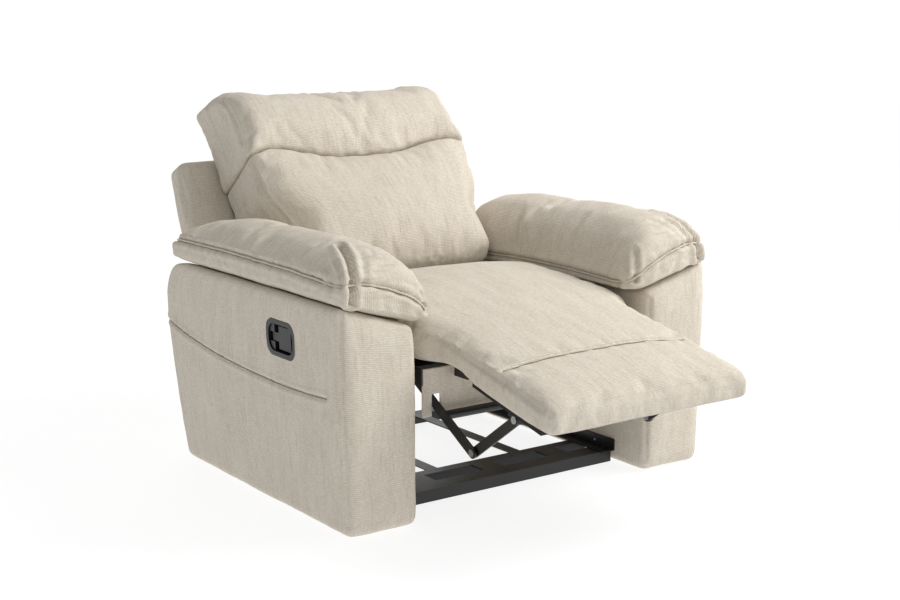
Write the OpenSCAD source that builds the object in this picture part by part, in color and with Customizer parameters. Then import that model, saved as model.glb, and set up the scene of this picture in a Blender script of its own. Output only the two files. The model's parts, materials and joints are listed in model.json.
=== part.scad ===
// Manual recliner armchair, shown part reclined with the footrest out.
// Millimetres, +Z up, the sitter faces -Y, origin on the floor under the middle of the chair.
// "left" and "right" are the sitter's: left is +X, right is -X, and the release lever is on the right.

/* [Overall] */
// Clear width between the two arms
arm_gap = 635; // [560:5:720]
// Width of one arm box across its top
arm_w = 190; // [150:5:230]
// Height of the arm box at its outer edge
arm_h = 487; // [440:1:540]
// How far the arm fronts stand ahead of the origin
arm_front = 320; // [290:5:350]
// How far the arms' bottom rear corners stand behind the origin
arm_rear = 435; // [400:5:480]

/* [Arms] */
// Fall of the arm box's top from its outer to its inner edge
arm_top_fall = 59; // [30:1:80]
// How much narrower each arm box is at the floor
arm_taper = 18; // [0:1:30]
// Rear bulge of the arm box behind its bottom rear corner
arm_bulge = 63; // [30:1:80]
// Thickness of the foam and cloth around the arm's wooden box
arm_foam = 22; // [15:1:30]
// Thickness of the arm box's plywood
ply_t = 15; // [12:1:18]
// Height of the crown of the arm pad above the floor
pad_top = 606; // [580:1:650]
// How far the arm pad hangs over the arm's inner face
pad_overhang = 40; // [20:1:50]
// Thickness of the plastic glides under the arms
glide_h = 4; // [3:0.5:8]

/* [Seat] */
// Width of the seat and leg cushions
cushion_w = 540; // [480:5:600]
// Height of the seat's crown above the floor
seat_top = 450; // [430:1:470]
// Underside of the seat cushion
seat_bottom = 336; // [330:1:345]
// Thickness of the steel side plates
plate_t = 4; // [3:0.5:5]
// Diameter of the mechanism's pivot pins
pin_d = 10; // [8:0.5:12]
// Radial clearance of every pivot
pivot_gap = 0.05; // [0.02:0.01:0.1]

/* [Footrest] */
// Length of the leg cushion from the knee to its toe
leg_len = 332; // [280:1:340]
// Slope of the footrest at rest, below level
leg_slope = 13; // [8:1:18]
// Thickness of the leg cushion
leg_t = 66; // [50:1:75]
// Thickness of the footrest board
board_t = 12; // [9:1:15]

/* [Backrest] */
// Lean of the back from upright, as shown
back_lean = 39; // [34:1:42]
// Length of the back from its hinge to its top edge
back_len = 600; // [540:5:650]
// Length of the outer shell above the hinge
shell_len = 475; // [440:5:500]
// Half width of the shell's wings at their top
wing_top = 402; // [380:1:420]
// Half width of the shell's wings at their bottom
wing_low = 432; // [410:1:460]
// Thickness of the outer shell
shell_t = 67; // [60:1:80]

/* [Lever] */
// Length of the lever's oval bezel
bezel_l = 122; // [110:1:130]
// Height of the bezel
bezel_h = 80; // [70:1:90]
// Depth of the finger recess
recess_d = 20; // [16:1:22]

/* [Hidden] */
$fn = 48;

in_x = arm_gap / 2;
out_x = in_x + arm_w;
pad_in = in_x - pad_overhang;
pad_out = out_x + 5;
pin_r = pin_d / 2;
hole_r = pin_r + pivot_gap;
eps = 1;

// Mechanism planes across the chair, from the arms inwards
track_w = 21;
plate_x = in_x - 30;
board_half = cushion_w / 2 - 12;
link_x = board_half - 15;
strut_x = link_x - plate_t - 1.5;
knee_x = link_x - 47;
rivet_r = 8;
rivet_h = 2.5;

// Pivot places, seen from the side as [y, z]
back_pivot = [arm_rear - 155, 360];
knee_pivot = [-345, 385];
hanger_pivot = [-204, 283];
// The lower link and the footrest swing through the same angle, so each pair is parallel
link_vec = [-204, -114];
link_end = hanger_pivot + link_vec;
strut_end = knee_pivot + link_vec;

// Seat frame
rail_top = 325;
rail_h = 30;
front_rail_y = -278;
rear_rail_y = back_pivot[0] - 162;
rail_w = 28;
seat_front = -328;
seat_rear = back_pivot[0] - 155;

apron_low = 220;
apron_slot_top = 270;
apron_t = 3;

// Slide
track_z = 290;
track_h = 32;
track_wall = 2.5;
track_y = [-190, 180];
block_gap = 0.1;
block_l = 36;
block_ys = [-110, 90];

// Base frame
base_z = 30;
sheet_t = 3;
front_lip_y = -205;
middle_rail_y = -110;
rear_rail_base_y = arm_rear - 105;

// Backrest, in its own leaning frame: t to the rear, s up along the back
cushion_front = -153;
cushion_back = 44;
shell_front = 45;
seam_s = 385;
post_x = 250;
post_w = 30;
shell_low = in_x - 15.5;
shell_wall = 6;
wing_from = 262;
shell_drop = 150;

// Lever
lever_y = -80;
lever_z = 383;
paddle = [51, 50];
paddle_t = 5;
tab = [26, 19];

function arm_top_z(x) = arm_h - arm_top_fall * (out_x - x) / arm_w;
function arc(c, r, a0, a1, n = 8) =
  [for (i = [0:n]) let (a = a0 + (a1 - a0) * i / n) [c[0] + r * cos(a), c[1] + r * sin(a)]];
function outer_x(z) = out_x - arm_taper * (arm_h - z) / arm_h;

// Repeat a right-hand (+X) shape on the other side
module both() {
  children();
  mirror([1, 0, 0]) children();
}

// Extrude a [y, z] outline along X, from x0 to x1
module along_x(x0, x1) {
  translate([x0, 0, 0]) rotate([90, 0, 90]) linear_extrude(x1 - x0) children();
}

// Extrude an [x, z] outline along Y, from y0 to y1
module along_y(y0, y1) {
  translate([0, y1, 0]) rotate([90, 0, 0]) linear_extrude(y1 - y0) children();
}

// A round bar along X at side-view place p
module bar_x(p, r, x0, x1) {
  translate([x0, p[0], p[1]]) rotate([0, 90, 0]) cylinder(r = r, h = x1 - x0);
}

// A flat link with round ends between two side-view places, with a hole at each
module link(p, q, r, x0, hole) {
  a = atan2(q[1] - p[1], q[0] - p[0]);
  difference() {
    along_x(x0, x0 + plate_t)
      polygon(concat(arc(p, r, a + 90, a + 270, 12), arc(q, r, a - 90, a + 90, 12)));
    bar_x(p, hole, x0 - eps, x0 + plate_t + eps);
    bar_x(q, hole, x0 - eps, x0 + plate_t + eps);
  }
}

// A rivet through two plates between x0 and x1, with a head outside each
module rivet(p, x0, x1) {
  bar_x(p, pin_r, x0, x1);
  bar_x(p, rivet_r, x0 - rivet_h, x0);
  bar_x(p, rivet_r, x1, x1 + rivet_h);
}

// The backrest's leaning frame at the back hinge
module on_back() {
  translate([0, back_pivot[0], back_pivot[1]]) rotate([-back_lean, 0, 0]) children();
}

// The footrest's sloping frame at the knee: -Y runs down the leg
module on_leg() {
  translate([0, knee_pivot[0], knee_pivot[1]]) rotate([leg_slope, 0, 0]) children();
}

// ---- Arms ----

module arm_side_outline() {
  r = 112;
  bulge_y = arm_rear + arm_bulge;
  polygon(concat(
    [[-arm_front, glide_h], [arm_rear - 10, glide_h], [arm_rear, glide_h + 12],
     [arm_rear + 0.5 * arm_bulge, 0.28 * arm_h]],
    arc([bulge_y - r, arm_h - r - 12], r, 0, 78, 10),
    [[bulge_y - r - 40, arm_h], [18 - arm_front, arm_h]]));
}

module arm_plan_outline() {
  r = 34;
  ri = 18;
  y0 = -arm_front;
  y1 = arm_rear + arm_bulge;
  polygon(concat(
    arc([out_x - r, y1 - r], r, 0, 90), arc([in_x + ri, y1 - ri], ri, 90, 180),
    arc([in_x + ri, y0 + ri], ri, 180, 270), arc([out_x - r, y0 + r], r, 270, 360)));
}

// The outer shape of the +X arm box
module arm_block() {
  intersection() {
    along_x(in_x, out_x) arm_side_outline();
    along_y(-arm_front - eps, arm_rear + arm_bulge + eps) polygon([
      [in_x, 0], [outer_x(0), 0], [out_x, arm_h], [in_x, arm_top_z(in_x)]]);
    linear_extrude(arm_h + eps) arm_plan_outline();
  }
}

frame_x = [in_x + arm_foam, outer_x(0) - arm_foam];
frame_y = [-arm_front + arm_foam + 10, arm_rear - arm_foam - 10];
frame_top = arm_h - arm_top_fall - arm_foam;

module frame_space(inset, drop) {
  translate([frame_x[0] + inset, frame_y[0] + inset, glide_h - drop])
    cube([frame_x[1] - frame_x[0] - 2 * inset, frame_y[1] - frame_y[0] - 2 * inset,
          frame_top - inset - glide_h + drop]);
}

module arm_frame() {
  color("burlywood") difference() {
    frame_space(0, 0);
    frame_space(ply_t, eps);
  }
}

module arm_cover() {
  color("antiquewhite") difference() {
    arm_block();
    frame_space(0, eps);
  }
}

module arm_frame_left() { arm_frame(); }

module arm_frame_right() {
  difference() {
    mirror([1, 0, 0]) arm_frame();
    cable_way();
  }
}

module arm_cover_left() { arm_cover(); }

module arm_cover_right() {
  difference() {
    mirror([1, 0, 0]) arm_cover();
    bezel_place() linear_extrude(60, center = true) bezel_outline(0);
    cable_way();
  }
}

module pad_side_outline() {
  y0 = -arm_front;
  polygon([
    [y0 + 14, 400], [y0 + 14, 505], [y0 + 28, 545], [y0 + 55, pad_top - 30],
    [y0 + 105, pad_top - 9], [y0 + 200, pad_top], [y0 + 540, pad_top - 9],
    [arm_rear - 80, pad_top - 28], [arm_rear - 25, pad_top - 50], [arm_rear + 5, pad_top - 72],
    [arm_rear - 6, pad_top - 94], [arm_rear - 50, arm_h - 5], [arm_rear - 66, 400]]);
}

module pad_cross_outline() {
  polygon([
    [pad_in, arm_top_z(in_x)], [in_x, arm_top_z(in_x)], [pad_out, arm_top_z(pad_out)],
    [pad_out, pad_top - 74], [pad_out - 12, pad_top - 48], [pad_out - 45, pad_top - 18],
    [pad_out - 100, pad_top], [pad_out - 160, pad_top - 18], [pad_in + 32, pad_top - 65],
    [pad_in + 8, pad_top - 105], [pad_in, pad_top - 140]]);
}

module arm_pad() {
  color("antiquewhite") intersection() {
    along_x(pad_in, pad_out) pad_side_outline();
    along_y(-arm_front, arm_rear + 10) pad_cross_outline();
    linear_extrude(pad_top + eps) polygon([[pad_in, -arm_front], [pad_out, -arm_front],
      [pad_out, arm_rear + 10], [pad_out - 60, arm_rear + 10], [in_x + 12, arm_rear - 60],
      [pad_in, arm_rear - 120]]);
  }
}

module arm_pad_left() { arm_pad(); }

module arm_pad_right() { mirror([1, 0, 0]) arm_pad(); }

module arm_glides() {
  color("dimgray") both() for (x = [in_x + 40, out_x - 55], y = [-arm_front + 50, arm_rear - 50])
    translate([x, y, 0]) cylinder(r = 15, h = glide_h);
}

// Bolts that hold the base angles and the slide tracks to the arm boxes
module arm_bolts() {
  color("silver") both() {
    for (y = [-150, 40, 250]) bar_x([y, base_z + 14], 3, in_x - sheet_t - 4, in_x - sheet_t);
    for (y = [track_y[0] + 14, 5])
      bar_x([y, track_z], 3, in_x - track_wall - 3, in_x - track_wall);
  }
}

// ---- Base frame ----

module base_front_rail() {
  color("#1c1c1e") {
    translate([-in_x + 3, front_lip_y, 2]) cube([arm_gap - 6, sheet_t, base_z - 2]);
    translate([-in_x + 3, front_lip_y + sheet_t, base_z - sheet_t])
      cube([arm_gap - 6, 44, sheet_t]);
  }
}

module rail_tube(y, w) {
  difference() {
    translate([-in_x + 3, y, 4]) cube([arm_gap - 6, w, base_z - 4]);
    translate([-in_x + 2, y + 2, 6]) cube([arm_gap - 4, w - 4, base_z - 8]);
  }
}

module base_middle_rail() { color("#1c1c1e") rail_tube(middle_rail_y, 28); }

module base_rear_rail() { color("#1c1c1e") rail_tube(rear_rail_base_y, 28); }

// Flat straps that tie the three cross rails together
module base_straps() {
  y0 = front_lip_y + sheet_t + 44;
  y1 = middle_rail_y + 28;
  color("#1c1c1e") {
    for (x = [-190, 0, 190]) translate([x - 28, y0, base_z - sheet_t])
      cube([56, middle_rail_y - y0, sheet_t]);
    for (x = [-120, 120]) translate([x - 15, y1, base_z - sheet_t])
      cube([30, rear_rail_base_y - y1, sheet_t]);
  }
}

module base_angle() {
  y0 = front_lip_y - 10;
  l = rear_rail_base_y + 60 - y0;
  color("#1c1c1e") {
    translate([in_x - sheet_t, y0, base_z]) cube([sheet_t, l, 28]);
    translate([in_x - 38, y0, base_z]) cube([38 - sheet_t, l, sheet_t]);
  }
}

module base_angle_left() { base_angle(); }

module base_angle_right() { mirror([1, 0, 0]) base_angle(); }

// A channel, open inwards, that the seat's blocks slide in
module slide_track() {
  l = track_y[1] - track_y[0];
  color("dimgray") difference() {
    translate([in_x - track_w, track_y[0], track_z - track_h / 2]) cube([track_w, l, track_h]);
    translate([in_x - track_w - eps, track_y[0] - eps, track_z - track_h / 2 + track_wall])
      cube([track_w - track_wall + eps, l + 2 * eps, track_h - 2 * track_wall]);
  }
}

module slide_track_left() { slide_track(); }

module slide_track_right() { mirror([1, 0, 0]) slide_track(); }

// ---- Release lever, in the right arm's outer face ----

// Local frame of the bezel: X to the rear, Y up, Z out of the arm's face
module bezel_place() {
  translate([-outer_x(lever_z), lever_y, lever_z])
    rotate([0, -atan(arm_taper / arm_h), 0]) rotate([90, 0, -90]) mirror([1, 0, 0]) children();
}

module bezel_outline(inset) {
  w = bezel_l / 2 - inset;
  h = bezel_h / 2 - inset;
  r = 28 - inset / 2;
  polygon(concat(
    arc([w - r, h - r], r, 0, 90), arc([r - w, h - r], r, 90, 180),
    arc([r - w, r - h], r, 180, 270), arc([w - r, r - h], r, 270, 360)));
}

hinge_x = paddle[0] / 2 - 9.5 + tab[0];
paddle_top = -3;

module lever_bezel() {
  wall = 10;
  bezel_place() color("#17181a") difference() {
    translate([0, 0, -recess_d - 3]) linear_extrude(recess_d + 6) bezel_outline(0.15);
    difference() {
      translate([0, 0, -recess_d]) linear_extrude(recess_d + 5) bezel_outline(wall);
      translate([hinge_x - 14, -30, -recess_d]) cube([30, 30 - tab[1] / 2 - 1, 20]);
      translate([hinge_x - 14, tab[1] / 2 + 1, -recess_d]) cube([30, 30, 20]);
    }
    translate([hinge_x, 0, paddle_top - 6]) rotate([90, 0, 0])
      cylinder(r = 2, h = tab[1] + 16, center = true);
  }
}

module lever_pivot_pin() {
  bezel_place() color("silver") translate([hinge_x, 0, paddle_top - 6]) rotate([90, 0, 0])
    cylinder(r = 1.98, h = tab[1] + 15, center = true);
}

// Closed coils of the torsion spring, round the pin below the tab
module lever_return_spring() {
  wire = 0.5;
  bezel_place() color("silver") for (i = [0:2])
    translate([hinge_x, -tab[1] / 2 + 3 + i * 2 * wire, paddle_top - 6]) rotate([90, 0, 0])
      rotate_extrude() translate([2.6, 0]) circle(r = wire * 0.98);
}

// T-shaped paddle: a square plate to pull and a tab that turns on the pin
module release_paddle() {
  x0 = -paddle[0] / 2 - 9.5;
  bezel_place() color("#202124") difference() {
    union() {
      translate([x0, -paddle[1] / 2, paddle_top - paddle_t])
        cube([paddle[0], paddle[1], paddle_t]);
      translate([x0 + paddle[0], -tab[1] / 2, paddle_top - paddle_t])
        cube([hinge_x - x0 - paddle[0], tab[1], paddle_t]);
      translate([hinge_x, 0, paddle_top - 6]) rotate([90, 0, 0])
        cylinder(r = 5, h = tab[1], center = true);
    }
    translate([hinge_x, 0, paddle_top - 6]) rotate([90, 0, 0])
      cylinder(r = 2.05, h = tab[1] + 2, center = true);
    translate([hinge_x, -tab[1] / 2 + 4, paddle_top - 6]) rotate([90, 0, 0])
      cylinder(r = 3.4, h = 4.4, center = true);
  }
}

// Centre line of the release cable: out of the bezel, down inside the arm and in to the base
cable_r = 2.5;
cable_route = [
  [-471, -90, 383], [-462, -90, 380], [-452, -92, 366], [-446, -96, 340], [-440, -100, 300],
  [-432, -104, 250], [-422, -106, 200], [-408, -106, 150], [-390, -104, 112], [-366, -100, 88],
  [-342, -96, 76], [-322, -92, 72], [-306, -88, 71], [-290, -84, 70], [-278, -80, 68]
];

function tangent(i) = let (a = cable_route[max(i - 1, 0)],
                           b = cable_route[min(i + 1, len(cable_route) - 1)]) (b - a) / norm(b - a);
function side_of(t) = let (s = cross(t, [0, 1, 0])) s / norm(s);
function ring(i, r, n) = let (t = tangent(i), s = side_of(t), u = cross(t, s))
  [for (k = [0:n - 1]) cable_route[i] + r * (cos(360 * k / n) * s + sin(360 * k / n) * u)];

module cable_tube(r) {
  n = 8;
  m = len(cable_route);
  points = [for (i = [0:m - 1]) each ring(i, r, n)];
  walls = [for (i = [0:m - 2], k = [0:n - 1]) let (j = (k + 1) % n)
    [i * n + k, i * n + j, (i + 1) * n + j, (i + 1) * n + k]];
  ends = [[for (k = [n - 1:-1:0]) k], [for (k = [0:n - 1]) (m - 1) * n + k]];
  polyhedron(points, concat(walls, ends), convexity = 4);
}

module release_cable() { color("#151515") cable_tube(cable_r); }

// Hole in the arm's inner wall, and the slot behind the bezel, for the cable
module cable_way() {
  translate([-in_x - 70, -104, 58]) cube([80, 24, 44]);
  translate([-480, -104, 350]) cube([40, 28, 40]);
}

// ---- Seat carriage ----

module side_plate() {
  color("#2a2a2c") difference() {
    along_x(plate_x - plate_t, plate_x) union() {
      polygon([[front_rail_y - 6, rail_top - 34], [front_rail_y - 6, rail_top + 4],
        [back_pivot[0] - 100, rail_top + 4], [back_pivot[0] - 12, back_pivot[1] + 12],
        [back_pivot[0] + 9, back_pivot[1] - 13], [back_pivot[0] - 70, rail_top - 34]]);
      translate(back_pivot) circle(r = 16);
    }
    bar_x(back_pivot, 6 + pivot_gap, plate_x - plate_t - eps, plate_x + eps);
  }
}

module seat_side_plate_left() { side_plate(); }

module seat_side_plate_right() { mirror([1, 0, 0]) side_plate(); }

module seat_rail(y) {
  w = 2 * (plate_x - plate_t);
  color("#2a2a2c") difference() {
    translate([-w / 2, y, rail_top - rail_h]) cube([w, rail_w, rail_h]);
    translate([-w / 2 - eps, y + 2, rail_top - rail_h + 2])
      cube([w + 2 * eps, rail_w - 4, rail_h - 4]);
  }
}

module seat_front_rail() { seat_rail(front_rail_y); }

module seat_rear_rail() { seat_rail(rear_rail_y); }

// Nylon blocks on the side plates, inside the tracks
module slide_blocks() {
  color("whitesmoke") both() for (y = block_ys) {
    h = track_h - 2 * track_wall - 2 * block_gap;
    translate([in_x - track_w + 2, y - block_l / 2, track_z - h / 2])
      cube([track_w - track_wall - 3, block_l, h]);
    bar_x([y, track_z], 8, plate_x, in_x - track_w + 2);
  }
}

// Centre line of a zigzag spring, as [point, direction] pairs: runs across, half turns at the ends
function zigzag(n, pitch, half) = [for (i = [0:n - 1]) let (s = i % 2 == 0 ? 1 : -1) each concat(
  [[[-s * half, i * pitch], [s, 0]]],
  [for (a = [-90:30:90]) [[s * (half + pitch / 2 * cos(a)), (i + 0.5) * pitch + pitch / 2 * sin(a)],
                          [-s * sin(a), cos(a)]]])];

// A flat zigzag spring that runs along +Y from the origin
module wire_zigzag(l, pitch, half, r) {
  line = zigzag(floor(l / pitch), pitch, half);
  left = [for (p = line) p[0] + r * [-p[1][1], p[1][0]]];
  right = [for (i = [len(line) - 1:-1:0]) line[i][0] - r * [-line[i][1][1], line[i][1][0]]];
  translate([0, 0, -r]) linear_extrude(2 * r) polygon(concat(left, right));
}

module seat_springs() {
  r = 1.8;
  y0 = front_rail_y + 6;
  color("silver") for (x = [-200, -120, -40, 40, 120, 200])
    translate([x, y0, rail_top + r + 0.2]) wire_zigzag(rear_rail_y + rail_w - 4 - y0, 24, 16, r);
}

module seat_cushion() {
  w = cushion_w / 2;
  z0 = seat_bottom;
  z1 = seat_top;
  color("antiquewhite") intersection() {
    along_x(-w, w) polygon([[seat_front, z0 + 14], [seat_front + 24, z0], [seat_rear - 10, z0],
      [seat_rear, z0 + 10], [seat_rear, z1 - 12], [seat_rear - 12, z1], [60, z1 + 2],
      [-120, z1 - 8], [-230, z1 - 22], [seat_front, z1 - 38]]);
    along_y(seat_front - eps, seat_rear + eps) polygon([[-w, z0 + 8], [8 - w, z0], [w - 8, z0],
      [w, z0 + 8], [w, z1 - 34], [w - 22, z1 - 12], [w - 90, z1 + 3], [90 - w, z1 + 3],
      [22 - w, z1 - 12], [-w, z1 - 34]]);
  }
}

// Cloth panel hanging from the front rail over the mechanism
module front_apron() {
  color("tan") difference() {
    translate([5 - plate_x, front_rail_y - apron_t, apron_low])
      cube([2 * plate_x - 10, apron_t, rail_top - apron_low]);
    both() translate([link_x - 6, front_rail_y - apron_t - eps, apron_low - eps])
      cube([plate_t + 12, apron_t + 2 * eps, apron_slot_top - apron_low]);
  }
}

module dust_cover() {
  color("#303030") translate([-275, -160, rail_top - rail_h - 2])
    cube([550, rear_rail_y + 20 + 160, 2]);
}

// Plates under the front rail that carry the lower links
module link_hangers() {
  r = 13;
  color("#2a2a2c") both() difference() {
    along_x(strut_x, strut_x + plate_t) union() {
      polygon([[front_rail_y + 3, rail_top - rail_h], [hanger_pivot[0] - 10, hanger_pivot[1] - 8],
        [hanger_pivot[0] + r, hanger_pivot[1]], [hanger_pivot[0] + r, rail_top - rail_h + 12],
        [front_rail_y + rail_w, rail_top - rail_h + 12], [front_rail_y + rail_w, rail_top - rail_h]]);
      translate(hanger_pivot) circle(r = r);
    }
    bar_x(hanger_pivot, hole_r, strut_x - eps, strut_x + plate_t + eps);
  }
}

module link_hanger_pins() {
  color("silver") both() rivet(hanger_pivot, strut_x - 0.2, link_x + plate_t + 0.3);
}

// Knee plates on the seat frame, up to the knee axis
module knee_brackets() {
  k = knee_pivot;
  color("#2a2a2c") both() difference() {
    along_x(knee_x, knee_x + plate_t) union() {
      polygon([[front_rail_y - apron_t, rail_top - 24], [front_rail_y - apron_t, rail_top],
        [seat_front + 8, rail_top + 4], [k[0] + 12, rail_top + 16], [k[0] + 12, k[1]],
        [k[0] - 12, k[1]], [k[0] - 10, rail_top + 4], [seat_front, rail_top - 24]]);
      translate(k) circle(r = 12);
    }
    bar_x(k, hole_r, knee_x - eps, knee_x + plate_t + eps);
  }
}

// ---- Footrest linkage ----

module lower_links() {
  color("#232325") both() link(hanger_pivot, link_end, 12, link_x, hole_r);
}

module link_cross_tube() {
  p = hanger_pivot + 0.5 * link_vec;
  color("#232325") difference() {
    bar_x(p, 10, -link_x, link_x);
    bar_x(p, 8, -link_x - eps, link_x + eps);
  }
}

module link_pins() { color("silver") both() rivet(link_end, strut_x - 0.3, link_x + plate_t + 0.2); }

module strut() { color("#232325") link(link_end, strut_end, 11, strut_x, hole_r); }

module strut_left() { strut(); }

module strut_right() { mirror([1, 0, 0]) strut(); }

// ---- Footrest ----

// Slots in the leg cushion that the knee plates swing in: their length, and the room at each side
knee_slot = 100;
knee_room = 4;
// The cushion's top above the knee axis, and how much foam stays over the slots
leg_top = 27;
slot_roof = 8;
board_top = leg_top - leg_t;

module footrest_board() {
  color("burlywood") on_leg() translate([-board_half, -leg_len + 12, board_top - board_t])
    cube([2 * board_half, leg_len - 104, board_t]);
}

module leg_cushion() {
  w = cushion_w / 2;
  l = leg_len;
  color("antiquewhite") on_leg() difference() {
    leg_cushion_body(w, l);
    both() translate([knee_x - knee_room, -knee_slot, board_top - eps])
      cube([2 * plate_t + 1 + 2 * knee_room, knee_slot, leg_top - slot_roof - board_top]);
  }
}

// The leg cushion before its two slots for the knee plates are cut
module leg_cushion_body(w, l) {
  intersection() {
    along_x(-w, w) polygon([[-92, board_top], [10 - l, board_top], [-l - 8, board_top + 12],
      [-l - 22, board_top + 32], [-l - 14, leg_top - 14], [-l + 6, leg_top - 3],
      [-120, leg_top], [-42, leg_top - 5], [-34, leg_top - 16]]);
    along_y(-l - 24, 0) polygon([[-w, board_top + 8], [8 - w, board_top], [w - 8, board_top],
      [w, board_top + 8], [w, leg_top - 26], [w - 20, leg_top - 6], [w - 70, leg_top + 3],
      [70 - w, leg_top + 3], [20 - w, leg_top - 6], [-w, leg_top - 26]]);
  }
}

// Ears under the board that the struts turn on
module strut_brackets() {
  color("#2a2a2c") both() difference() {
    union() {
      bar_x(strut_end, 11, link_x, link_x + plate_t);
      on_leg() translate([link_x, strut_local[0] - 22, strut_local[1]])
        cube([plate_t, 44, board_top - board_t - strut_local[1]]);
    }
    bar_x(strut_end, hole_r, link_x - eps, link_x + plate_t + eps);
  }
}

// The strut's pivot in the footrest's own sloping frame
strut_local = [
  link_vec[0] * cos(leg_slope) + link_vec[1] * sin(leg_slope),
  link_vec[1] * cos(leg_slope) - link_vec[0] * sin(leg_slope)
];

module strut_pins() { color("silver") both() rivet(strut_end, strut_x - 0.3, link_x + plate_t + 0.2); }

// Arms from the board up to the knee axis
module knee_arms() {
  x0 = knee_x + plate_t + 1;
  color("#2a2a2c") both() difference() {
    on_leg() along_x(x0, x0 + plate_t) polygon(concat(arc([0, 0], 12, 90, -90, 12),
      [[-46, -15], [-60, -40], [-72, board_top - board_t - 6], [-84, board_top - board_t - 10],
       [-150, board_top - board_t - 10], [-150, board_top - board_t], [-82, board_top - board_t],
       [-78, -38], [-62, -20], [-30, 2]]));
    bar_x(knee_pivot, hole_r, x0 - eps, x0 + plate_t + eps);
  }
}

module knee_pins() {
  color("silver") both() rivet(knee_pivot, knee_x - 0.3, knee_x + 2 * plate_t + 1.2);
}

// ---- Backrest ----

bracket_x = post_x + post_w;
back_pin_r = 6;

module back_brackets() {
  color("#2a2a2c") both() on_back() difference() {
    along_x(bracket_x, bracket_x + 2.5) union() {
      circle(r = 15);
      polygon([[-12, -9], [-12, 9], [54, 140], [86, 140], [86, -40], [54, -40]]);
    }
    bar_x([0, 0], back_pin_r + 0.02, bracket_x - eps, bracket_x + 3.5);
  }
}

module back_hinge_pins() {
  color("silver") both() {
    bar_x(back_pivot, back_pin_r, bracket_x - 0.3, plate_x + 0.5);
    bar_x(back_pivot, 10, bracket_x - 3, bracket_x - 0.3);
    bar_x(back_pivot, 10, plate_x + 0.5, plate_x + 3);
  }
}

module back_posts() {
  color("burlywood") both() on_back() translate([post_x, 52, -120]) cube([post_w, 40, 560]);
}

module back_rails() {
  color("burlywood") on_back() for (s = [-110, 150, 400])
    translate([-post_x, 60, s]) cube([2 * post_x, 22, 36]);
}

module back_springs() {
  r = 1.8;
  color("silver") on_back() for (x = [-150, -50, 50, 150], s = [-72, 190])
    translate([x, 60 - r - 0.2, s]) rotate([90, 0, 0]) mirror([0, 0, 1])
      wire_zigzag(210, 24, 16, r);
}

module shell_outline() {
  r = 34;
  polygon(concat(
    [[-shell_low, -shell_drop + 12], [-shell_low + 12, -shell_drop],
     [shell_low - 12, -shell_drop], [shell_low, -shell_drop + 12],
     [shell_low, wing_from - 12]],
    [[wing_low - 20, wing_from], [wing_low, wing_from + 22]],
    arc([wing_top - r, shell_len - r], r, 0, 90), arc([r - wing_top, shell_len - r], r, 90, 180),
    [[-wing_low, wing_from + 22], [20 - wing_low, wing_from], [-shell_low, wing_from - 12]]));
}

module back_shell() {
  pocket = shell_low - shell_wall;
  color("antiquewhite") on_back() difference() {
    translate([0, shell_front + shell_t, 0]) rotate([90, 0, 0])
      linear_extrude(shell_t) shell_outline();
    translate([-pocket, shell_front - eps, -shell_drop + 10])
      cube([2 * pocket, 55 + eps, shell_len + shell_drop - 24]);
  }
}

module lumbar_cushion() {
  w = cushion_w / 2 - 8;
  ww = w + 38;
  color("antiquewhite") on_back() intersection() {
    along_x(-ww, ww) polygon([[cushion_back, 34], [cushion_front + 40, 34], [cushion_front + 8, 46],
      [cushion_front - 12, 120], [cushion_front - 12, 220], [cushion_front, 320],
      [cushion_front + 34, seam_s], [cushion_back, seam_s]]);
    translate([0, cushion_back, 0]) rotate([90, 0, 0]) linear_extrude(300)
      polygon([[-w, 0], [w, 0], [w, 205], [ww, 225], [ww, seam_s], [-ww, seam_s], [-ww, 225],
        [-w, 205]]);
  }
}

module head_cushion() {
  w = cushion_w / 2 + 40;
  top = back_len;
  color("antiquewhite") on_back() intersection() {
    along_x(-w, w) polygon([[cushion_back, seam_s + 1], [cushion_front + 34, seam_s + 1],
      [cushion_front, seam_s + 50], [cushion_front - 2, top - 100], [cushion_front + 22, top - 55],
      [cushion_front + 57, top - 24], [cushion_back - 84, top], [cushion_back - 14, top + 3],
      [cushion_back, top - 10]]);
    translate([0, cushion_back, 0]) rotate([90, 0, 0]) linear_extrude(300) polygon(concat(
      [[-w, seam_s], [w, seam_s]], arc([w - 36, top - 33], 36, 0, 90),
      arc([36 - w, top - 33], 36, 90, 180)));
  }
}

arm_frame_left();
arm_frame_right();
arm_cover_left();
arm_cover_right();
arm_pad_left();
arm_pad_right();
arm_glides();
arm_bolts();
base_front_rail();
base_middle_rail();
base_rear_rail();
base_straps();
base_angle_left();
base_angle_right();
slide_track_left();
slide_track_right();
lever_bezel();
lever_pivot_pin();
lever_return_spring();
release_cable();
release_paddle();
seat_side_plate_left();
seat_side_plate_right();
seat_front_rail();
seat_rear_rail();
slide_blocks();
seat_springs();
seat_cushion();
front_apron();
dust_cover();
link_hangers();
link_hanger_pins();
knee_brackets();
lower_links();
link_cross_tube();
link_pins();
strut_left();
strut_right();
footrest_board();
leg_cushion();
strut_brackets();
strut_pins();
knee_arms();
knee_pins();
back_brackets();
back_hinge_pins();
back_posts();
back_rails();
back_springs();
back_shell();
lumbar_cushion();
head_cushion();
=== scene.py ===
"""A manual recliner armchair in beige chenille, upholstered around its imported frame.

Metres, +Z up, the sitter faces -Y, and the release lever is in the -X arm.
"""

import json
import logging
import math
from dataclasses import dataclass, field
from enum import Enum

import bmesh
import bpy
import numpy as np
from mathutils import Matrix, Vector, noise
from mathutils.bvhtree import BVHTree
from mathutils.kdtree import KDTree


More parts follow.
